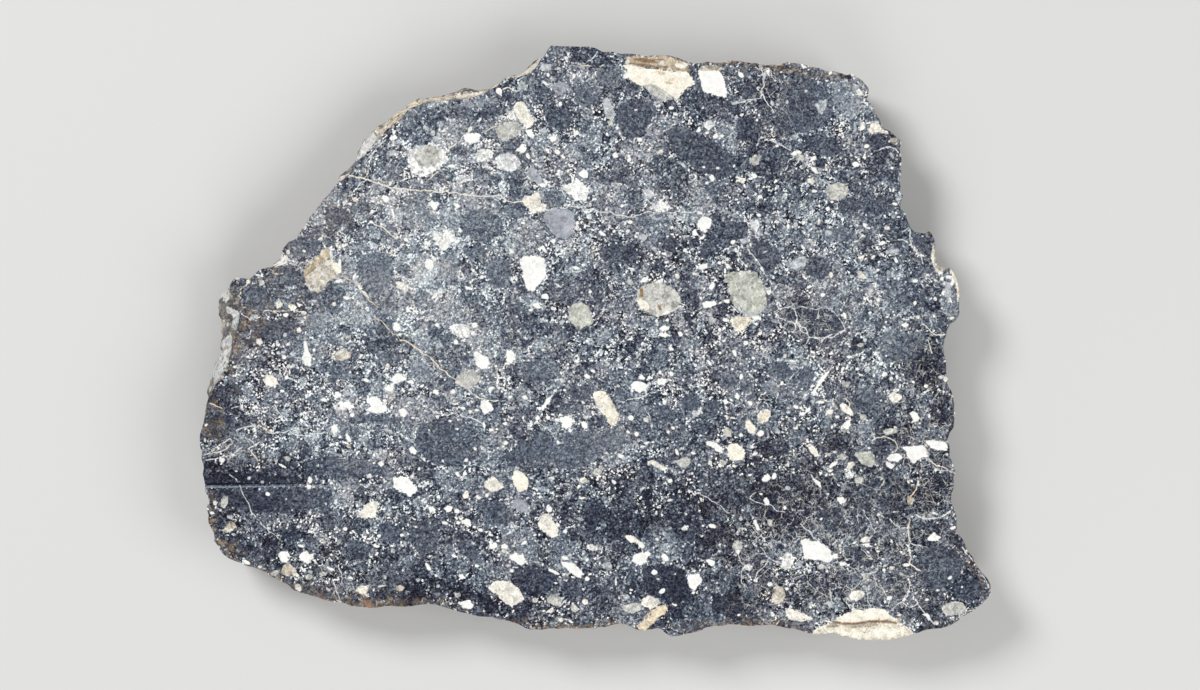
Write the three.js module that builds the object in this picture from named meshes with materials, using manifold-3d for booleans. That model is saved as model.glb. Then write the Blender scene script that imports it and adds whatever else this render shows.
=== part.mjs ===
// Sawn slab of a lunar breccia meteorite, lying on its sawn back.
// Millimetres, +Z up. The origin is the middle of the slab's footprint, on the surface that it rests on.
// One solid: two flat, parallel sawn faces and the stone's natural weathered flank between them.
// The outlines are in units of the front view, about 790 units across, and MM_PER_UNIT turns them into millimetres.
import * as THREE from "three";
import Module from "manifold-3d";

const MM_PER_UNIT = 0.13; // scale of the outlines: the slab is 103 mm across
const THICKNESS = 8; // between the two sawn faces
const CENTRE = [595.25, 342.5]; // the outlines' centre, which is the origin
const EDGE_STEP_Z = [0.7, 1.9, 3.6, 5.4, 7.2]; // depths of the flank's rings below the sawn face
const STEP_DEPTH = 0.28; // height of the saw step at the slab's left edge

// Edge of the upper sawn face, clockwise from the top corner, y down.
const FACE_EDGE = `
551,45 562,46 575,46.5 588,46 596,48 603,51 612,51.5 620,53 630,53.5 638,54 645,56 657,55.5 670,55 679,58 687,61 694,63 701,62.5
708,61 716,62 724,61.5 732,60 741,61 750,62.5 758,63 766,65 772,64 779,65 786,61.5 794,62.5 803,64 812,67 820,68 826,71 833,71
841,72.5 847,75 852,73 858,77 863,80 866,84.5 869,88 868.5,94 867,99 871,103 875,108 874.5,113 879,116.5 881,122 883,128 890,130.5
896,136 902,142 900,149 901,154 902,160 901,167 902,173 900,179 901,186 900,191 903.5,196 901,202 901,208 906,214 908,221 911,228
915,232 921,232 925,233 929,230.5 932.5,234 935,241 936,248 935.5,256 938.5,264 943,268 950,268 954.5,273 957,280 958.5,286 960,298
959.5,305 960,311 958,318 954.5,322 950,325 947.5,331 945.5,338 944,345 944,355 946.5,362 946.5,375 949,381 948,386 951,389 953,396
954.5,403 955,409 957,414 955,421 954,428 949.5,433 948,440 950,447 950,455 953,464 956,471 954,478 954,487 952,494 951,501 954,508
956.5,515 957,524 957,532 961,536 964,541 968,551 973,557 976,564 981,571 985,575 988,579 991,585 991,594 986,600 980,606 972,612
963,616.5 957,622 950,626 941,628.5 932,629 924,630.5 918,633 910,636 900,638 888,640 876,640.5 867,640 858,640 850,638 842,636
835,632.5 826,634 815,634.5 807,633 800,630.5 790,629.5 782,627 773,625 764,625.5 755,626.5 745,626 738,625 730,624.5 722,626
715,626 706,629 698,631.5 688,634 679,636 671,637 665,633 659,628 653,629 646,631 639,630.5 632,628 626,624.5 618,624 610,626
602,628 593,628.5 584,628.5 575,629 567,628 558,629 549,628.5 541,630 531,631 525,628 518,624 508,621 499,619.5 491,617 481,617
473,615 465,613 455,611 446,608 437,605.5 428,605 420,605 412,606.5 402,607 394,606.5 386,606 379,608 371,608.5 364,607.5
356,606.5 350,606 342,603 333,602.5 325,600.5 317,597 309,595.5 301,593 293,590 288,585 280,581 272,577 266,572 260,570 253,567.5
247,566 240,563 232,560 225,556.5 221,552 218,547 214,541 214,534 211,528 208,522 208.5,515 206.5,509 208,502 208,497 205.5,492
205,487 204,481 202.5,474 203.5,466 201.5,459 201.5,452 199.5,446 199.5,437 201,430 203,423 204.5,416 205.5,408 207,401 211,393
214,387 218,381 221,375 226,368 230,361 232,352 234,345 236,337 237.5,329 238.5,321 239,313 238,305 236.5,298 233,294.5 230,290
229.5,285 232,280 236,277 242,277.5 249,279.5 254,275 258,270.5 263,268 267,267 274,266.5 281,265 286,263 288,258.5 284,254
281.5,250.5 285,246 289,241.5 294,239.5 298,235 301,229.5 305,225 307,220 311,214.5 315,210.5 318,206.5 322,200 326,196 331,191
336,185 340,181 344,178.5 349,174 351.5,170 353,163.5 358,160 362.5,156 368,151 372,146 378,138 384,132 391,126.5 397,121.5
402,117 405,112.5 408,109 413,106.5 419.5,104.5 426,102 432.5,100 439,100 445.5,100 454,99.5 462,99 469.5,98.5 476,96 482.5,93.5
488,90.5 493,88 497.5,86 500,82.5 503,79.5 509,77 514,76 519,75.5 527,75 531,71.5 535.5,67.5 539,62 541.5,57.5 545,54.5 548,49`;

// Where the natural flank swells out below the sawn face, on the left and upper left: [first and last point of that stretch of the
// face's edge, the swollen outline beside it].
const SWELL = [
  [[203, 423], [229.5, 285], "202.5,424 201,413 201.5,402 203,390 206,376 209,362 211.5,350 213,338 213.5,324 211.5,312 212,303 216,294 222,286.5 228,283"],
  [[229.5, 285], [249, 279.5], "228,283 231,278.5 236,275.5 243,276 249,278"],
  [[249, 279.5], [294, 239.5], "249,278 256,271.5 262,267 268,264.5 274,258 280,250 286,242 292,238.5"],
  [[294, 239.5], [349, 174], "292,238.5 298,233.5 303,225 309,215 315,206.5 323,196.5 330,190 334,180 337,172 342,168"],
  [[349, 174], [497.5, 86], "342,168 350,160 352,152 356,144 361,137 369,128 378,120 385,117 393,108 402,105.5 413,93 425,93.5 436,92.5 450,88.5 464,84 473,86 486,86 490,83.5"],
  [[497.5, 86], [551, 45], "490,83.5 493,80.5 499,74 510,70 522,66 529,59.5 536,56 542,52.5 544,49 550,44.5"],
];

const read = (text) => text.trim().split(/\s+/).map((p) => p.split(",").map(Number));
const lengthTo = (line) => line.reduce((s, p, i) => (i ? [...s, s[i - 1] + Math.hypot(p[0] - line[i - 1][0], p[1] - line[i - 1][1])] : [0]), []);

// The point at a share of a line's length.
function along(line, share) {
  const s = lengthTo(line), d = share * s[s.length - 1];
  let i = 1;
  while (i < line.length - 1 && s[i] < d) i++;
  const t = (d - s[i - 1]) / (s[i] - s[i - 1]);
  return [0, 1].map((k) => line[i - 1][k] + t * (line[i][k] - line[i - 1][k]));
}

const face = read(FACE_EDGE);
const count = face.length;
const indexOf = ([x, y]) => face.findIndex((p) => p[0] === x && p[1] === y);

// The flank's widest outline, point for point with the face's edge.
const wide = face.map((p) => [...p]);
for (const [from, to, text] of SWELL) {
  const line = read(text), a = indexOf(from);
  const b = indexOf(to) || count;
  const own = face.slice(a, b + 1).concat(b === count ? [face[0]] : []);
  const s = lengthTo(own);
  own.forEach((_, k) => {
    wide[(a + k) % count] = along(line, s[k] / s[s.length - 1]);
  });
}

// A closed line, smoothed by averaging each point with its neighbours by arc length.
function smoothed(line, reach) {
  const s = lengthTo([...line, line[0]]), total = s.pop();
  return line.map((_, i) => {
    let w = 0, x = 0, y = 0;
    line.forEach((q, j) => {
      let d = Math.abs(s[i] - s[j]);
      d = Math.min(d, total - d);
      const g = Math.exp(-0.5 * (d / reach) ** 2);
      w += g; x += g * q[0]; y += g * q[1];
    });
    return [x / w, y / w];
  });
}

// A closed clockwise line (y down), moved in by a distance that may differ from point to point.
function inset(line, distance) {
  return line.map((p, i) => {
    const a = line[(i - 2 + count) % count], b = line[(i + 2) % count];
    const dx = b[0] - a[0], dy = b[1] - a[1], l = Math.hypot(dx, dy), d = distance(i);
    return [p[0] - (dy / l) * d, p[1] + (dx / l) * d];
  });
}

const soft = smoothed(wide, 14);
const turn = (i) => (i / count) * 2 * Math.PI;
const back = inset(soft, (i) => 9 + 5 * Math.sin(3 * turn(i) + 0.8) + 2.5 * Math.sin(7 * turn(i)) + 1.2 * Math.sin(13 * turn(i) + 2));
const shoulder = inset(smoothed(wide, 3), () => 1.5);

// Shallow natural hollows in the flank, up to 0.55 mm deep.
const hollow = (i, t) => 4.2 * Math.sin(Math.PI * t) * Math.max(0, Math.sin(9 * turn(i) + 1.3 + 3 * t)) * Math.max(0, Math.sin(23 * turn(i) - 4 * t + 0.6) + 0.4) / 1.4;

// The flank's section: how far a ring has gone from the face's edge to the widest outline, and from there to the back's edge.
function ring(depth) {
  const t = depth / THICKNESS;
  const out = Math.min(1, Math.sin((Math.min(t, 0.45) / 0.45) * (Math.PI / 2)) ** 0.9);
  const under = t <= 0.45 ? 0 : ((t - 0.45) / 0.55) ** 1.7;
  const line = face.map((p, i) => [0, 1].map((k) => {
    const middle = p[k] + out * ((i === 0 ? wide[i][k] : 0.5 * wide[i][k] + 0.5 * shoulder[i][k]) - p[k]);
    return middle + under * (back[i][k] - middle);
  }));
  return inset(line, (i) => hollow(i, t));
}

const rings = [face, ...EDGE_STEP_Z.map(ring), back];
const depths = [0, ...EDGE_STEP_Z, THICKNESS];
const toMm = ([x, y], depth) => [(x - CENTRE[0]) * MM_PER_UNIT, (CENTRE[1] - y) * MM_PER_UNIT, THICKNESS - depth];

const positions = rings.flatMap((r, k) => r.flatMap((p) => toMm(p, depths[k])));
const triangles = [];
for (let k = 0; k < rings.length - 1; k++)
  for (let i = 0; i < count; i++) {
    const a = k * count + i, b = k * count + ((i + 1) % count), c = a + count, d = b + count;
    // the shorter diagonal, so that no triangle is a sliver
    const far = (u, v) => Math.hypot(...[0, 1, 2].map((q) => positions[3 * u + q] - positions[3 * v + q]));
    if (far(a, d) < far(b, c)) triangles.push([a, b, d], [a, d, c]);
    else triangles.push([a, b, c], [b, d, c]);
  }
const flat = (r) => THREE.ShapeUtils.triangulateShape(r.map((p) => new THREE.Vector2(p[0], -p[1])), []);
const area = (t, at) => {
  const [p, q, r] = t.map((i) => [positions[3 * (i + at)], positions[3 * (i + at) + 1]]);
  return (q[0] - p[0]) * (r[1] - p[1]) - (r[0] - p[0]) * (q[1] - p[1]);
};
for (const t of flat(face)) triangles.push(area(t, 0) > 0 ? t : [t[0], t[2], t[1]]);
const last = (rings.length - 1) * count;
for (const t of flat(back)) triangles.push((area(t, last) < 0 ? t : [t[0], t[2], t[1]]).map((i) => i + last));

const wasm = await Module();
wasm.setup();
const solid = (vertices, faces) => {
  const made = new wasm.Manifold(new wasm.Mesh({ numProp: 3, vertProperties: new Float32Array(vertices), triVerts: new Uint32Array(faces.flat()) }));
  return made.volume() > 0 ? made : new wasm.Manifold(new wasm.Mesh({ numProp: 3, vertProperties: new Float32Array(vertices), triVerts: new Uint32Array(faces.map(([a, b, c]) => [a, c, b]).flat()) }));
};
const slab = solid(positions, triangles);

// The saw step: above this line, at the left edge, the blade went a little deeper, in a shallow wedge that runs out to nothing.
const wedge = [[[190, 487], STEP_DEPTH * 1.1], [[336, 485], -0.02], [[190, 452], -0.02]];
const wedgePoints = [0, 1].flatMap((top) => wedge.flatMap(([p, d]) => toMm(p, top ? -2 : d)));
const wedgeFaces = [[0, 1, 2], [3, 5, 4], [0, 3, 4], [0, 4, 1], [1, 4, 5], [1, 5, 2], [2, 5, 3], [2, 3, 0]];
const stone = slab.subtract(solid(wedgePoints, wedgeFaces));

const made = stone.getMesh();
const out = new Float32Array(made.numVert * 3);
for (let i = 0; i < made.numVert; i++) out.set(made.vertProperties.subarray(i * made.numProp, i * made.numProp + 3), i * 3);
const geometry = new THREE.BufferGeometry();
geometry.setAttribute("position", new THREE.BufferAttribute(out, 3));
geometry.setIndex(new THREE.BufferAttribute(new Uint32Array(made.triVerts), 1));
geometry.computeVertexNormals();

const mesh = new THREE.Mesh(geometry, new THREE.MeshStandardMaterial({ color: 0x565b66, roughness: 0.62, metalness: 0 }));
mesh.name = "meteorite_slice";

const group = new THREE.Group();
group.name = "lunar_meteorite";
group.add(mesh);

export default group;
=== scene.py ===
# Sawn slab of a lunar breccia meteorite: one closed stone, lying on its sawn back. Blender 4.5, metres.
# The outlines and the map of clasts below are in the part's outline units: x to the right, y down, 0.13 mm each.
import math
import bpy
import numpy as np
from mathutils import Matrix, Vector
from mathutils.geometry import delaunay_2d_cdt


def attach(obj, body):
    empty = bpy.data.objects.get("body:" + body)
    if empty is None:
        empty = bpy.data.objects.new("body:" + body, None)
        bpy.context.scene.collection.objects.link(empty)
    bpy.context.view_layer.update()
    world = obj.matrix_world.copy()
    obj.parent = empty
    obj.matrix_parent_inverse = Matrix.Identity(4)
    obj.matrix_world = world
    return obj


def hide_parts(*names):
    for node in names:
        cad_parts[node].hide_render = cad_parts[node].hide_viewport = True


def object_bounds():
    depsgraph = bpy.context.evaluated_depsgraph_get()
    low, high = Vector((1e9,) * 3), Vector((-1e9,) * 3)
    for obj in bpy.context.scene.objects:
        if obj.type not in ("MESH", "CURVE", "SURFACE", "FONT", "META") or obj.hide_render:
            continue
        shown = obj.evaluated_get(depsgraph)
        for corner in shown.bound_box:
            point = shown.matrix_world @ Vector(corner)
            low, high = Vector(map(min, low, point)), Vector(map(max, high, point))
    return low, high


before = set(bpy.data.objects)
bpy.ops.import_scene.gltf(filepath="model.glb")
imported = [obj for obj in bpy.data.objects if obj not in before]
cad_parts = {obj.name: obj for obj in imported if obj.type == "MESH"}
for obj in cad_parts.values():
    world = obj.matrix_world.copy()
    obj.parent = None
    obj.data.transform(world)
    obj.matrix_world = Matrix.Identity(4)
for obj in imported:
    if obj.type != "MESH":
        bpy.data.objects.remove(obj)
cad_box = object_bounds()

UNIT = 0.00013  # metres per outline unit
CENTRE = (595.25, 342.5)
THICK = 0.008 / UNIT  # slab thickness in outline units
EDGE_STEP_Z = [0.7, 1.9, 3.6, 5.4, 7.2]

# ---- camera, straight above the sawn face ----
cam_data = bpy.data.cameras.new("camera")
camera = bpy.data.objects.new("camera", cam_data)
bpy.context.scene.collection.objects.link(camera)
cam_data.sensor_width = 36
cam_data.lens = 100
camera.location = ((600 - 595.25) * UNIT, (342.5 - 345) * UNIT, 0.008 + 0.156 * 100 / 36)
bpy.context.scene.camera = camera
bpy.context.scene.view_settings.view_transform = "Standard"
bpy.context.scene.view_settings.look = "None"

# ---- outlines ----
FACE_EDGE = """
551,45 562,46 575,46.5 588,46 596,48 603,51 612,51.5 620,53 630,53.5 638,54 645,56 657,55.5 670,55 679,58 687,61 694,63 701,62.5
708,61 716,62 724,61.5 732,60 741,61 750,62.5 758,63 766,65 772,64 779,65 786,61.5 794,62.5 803,64 812,67 820,68 826,71 833,71
841,72.5 847,75 852,73 858,77 863,80 866,84.5 869,88 868.5,94 867,99 871,103 875,108 874.5,113 879,116.5 881,122 883,128 890,130.5
896,136 902,142 900,149 901,154 902,160 901,167 902,173 900,179 901,186 900,191 903.5,196 901,202 901,208 906,214 908,221 911,228
915,232 921,232 925,233 929,230.5 932.5,234 935,241 936,248 935.5,256 938.5,264 943,268 950,268 954.5,273 957,280 958.5,286 960,298
959.5,305 960,311 958,318 954.5,322 950,325 947.5,331 945.5,338 944,345 944,355 946.5,362 946.5,375 949,381 948,386 951,389 953,396
954.5,403 955,409 957,414 955,421 954,428 949.5,433 948,440 950,447 950,455 953,464 956,471 954,478 954,487 952,494 951,501 954,508
956.5,515 957,524 957,532 961,536 964,541 968,551 973,557 976,564 981,571 985,575 988,579 991,585 991,594 986,600 980,606 972,612
963,616.5 957,622 950,626 941,628.5 932,629 924,630.5 918,633 910,636 900,638 888,640 876,640.5 867,640 858,640 850,638 842,636
835,632.5 826,634 815,634.5 807,633 800,630.5 790,629.5 782,627 773,625 764,625.5 755,626.5 745,626 738,625 730,624.5 722,626
715,626 706,629 698,631.5 688,634 679,636 671,637 665,633 659,628 653,629 646,631 639,630.5 632,628 626,624.5 618,624 610,626
602,628 593,628.5 584,628.5 575,629 567,628 558,629 549,628.5 541,630 531,631 525,628 518,624 508,621 499,619.5 491,617 481,617
473,615 465,613 455,611 446,608 437,605.5 428,605 420,605 412,606.5 402,607 394,606.5 386,606 379,608 371,608.5 364,607.5
356,606.5 350,606 342,603 333,602.5 325,600.5 317,597 309,595.5 301,593 293,590 288,585 280,581 272,577 266,572 260,570 253,567.5
247,566 240,563 232,560 225,556.5 221,552 218,547 214,541 214,534 211,528 208,522 208.5,515 206.5,509 208,502 208,497 205.5,492
205,487 204,481 202.5,474 203.5,466 201.5,459 201.5,452 199.5,446 199.5,437 201,430 203,423 204.5,416 205.5,408 207,401 211,393
214,387 218,381 221,375 226,368 230,361 232,352 234,345 236,337 237.5,329 238.5,321 239,313 238,305 236.5,298 233,294.5 230,290
229.5,285 232,280 236,277 242,277.5 249,279.5 254,275 258,270.5 263,268 267,267 274,266.5 281,265 286,263 288,258.5 284,254
281.5,250.5 285,246 289,241.5 294,239.5 298,235 301,229.5 305,225 307,220 311,214.5 315,210.5 318,206.5 322,200 326,196 331,191
336,185 340,181 344,178.5 349,174 351.5,170 353,163.5 358,160 362.5,156 368,151 372,146 378,138 384,132 391,126.5 397,121.5
402,117 405,112.5 408,109 413,106.5 419.5,104.5 426,102 432.5,100 439,100 445.5,100 454,99.5 462,99 469.5,98.5 476,96 482.5,93.5
488,90.5 493,88 497.5,86 500,82.5 503,79.5 509,77 514,76 519,75.5 527,75 531,71.5 535.5,67.5 539,62 541.5,57.5 545,54.5 548,49
"""
SWELL = [
  [[203, 423], [229.5, 285], "202.5,424 201,413 201.5,402 203,390 206,376 209,362 211.5,350 213,338 213.5,324 211.5,312 212,303 216,294 222,286.5 228,283"],
  [[229.5, 285], [249, 279.5], "228,283 231,278.5 236,275.5 243,276 249,278"],
  [[249, 279.5], [294, 239.5], "249,278 256,271.5 262,267 268,264.5 274,258 280,250 286,242 292,238.5"],
  [[294, 239.5], [349, 174], "292,238.5 298,233.5 303,225 309,215 315,206.5 323,196.5 330,190 334,180 337,172 342,168"],
  [[349, 174], [497.5, 86], "342,168 350,160 352,152 356,144 361,137 369,128 378,120 385,117 393,108 402,105.5 413,93 425,93.5 436,92.5 450,88.5 464,84 473,86 486,86 490,83.5"],
  [[497.5, 86], [551, 45], "490,83.5 493,80.5 499,74 510,70 522,66 529,59.5 536,56 542,52.5 544,49 550,44.5"],
]
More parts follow.
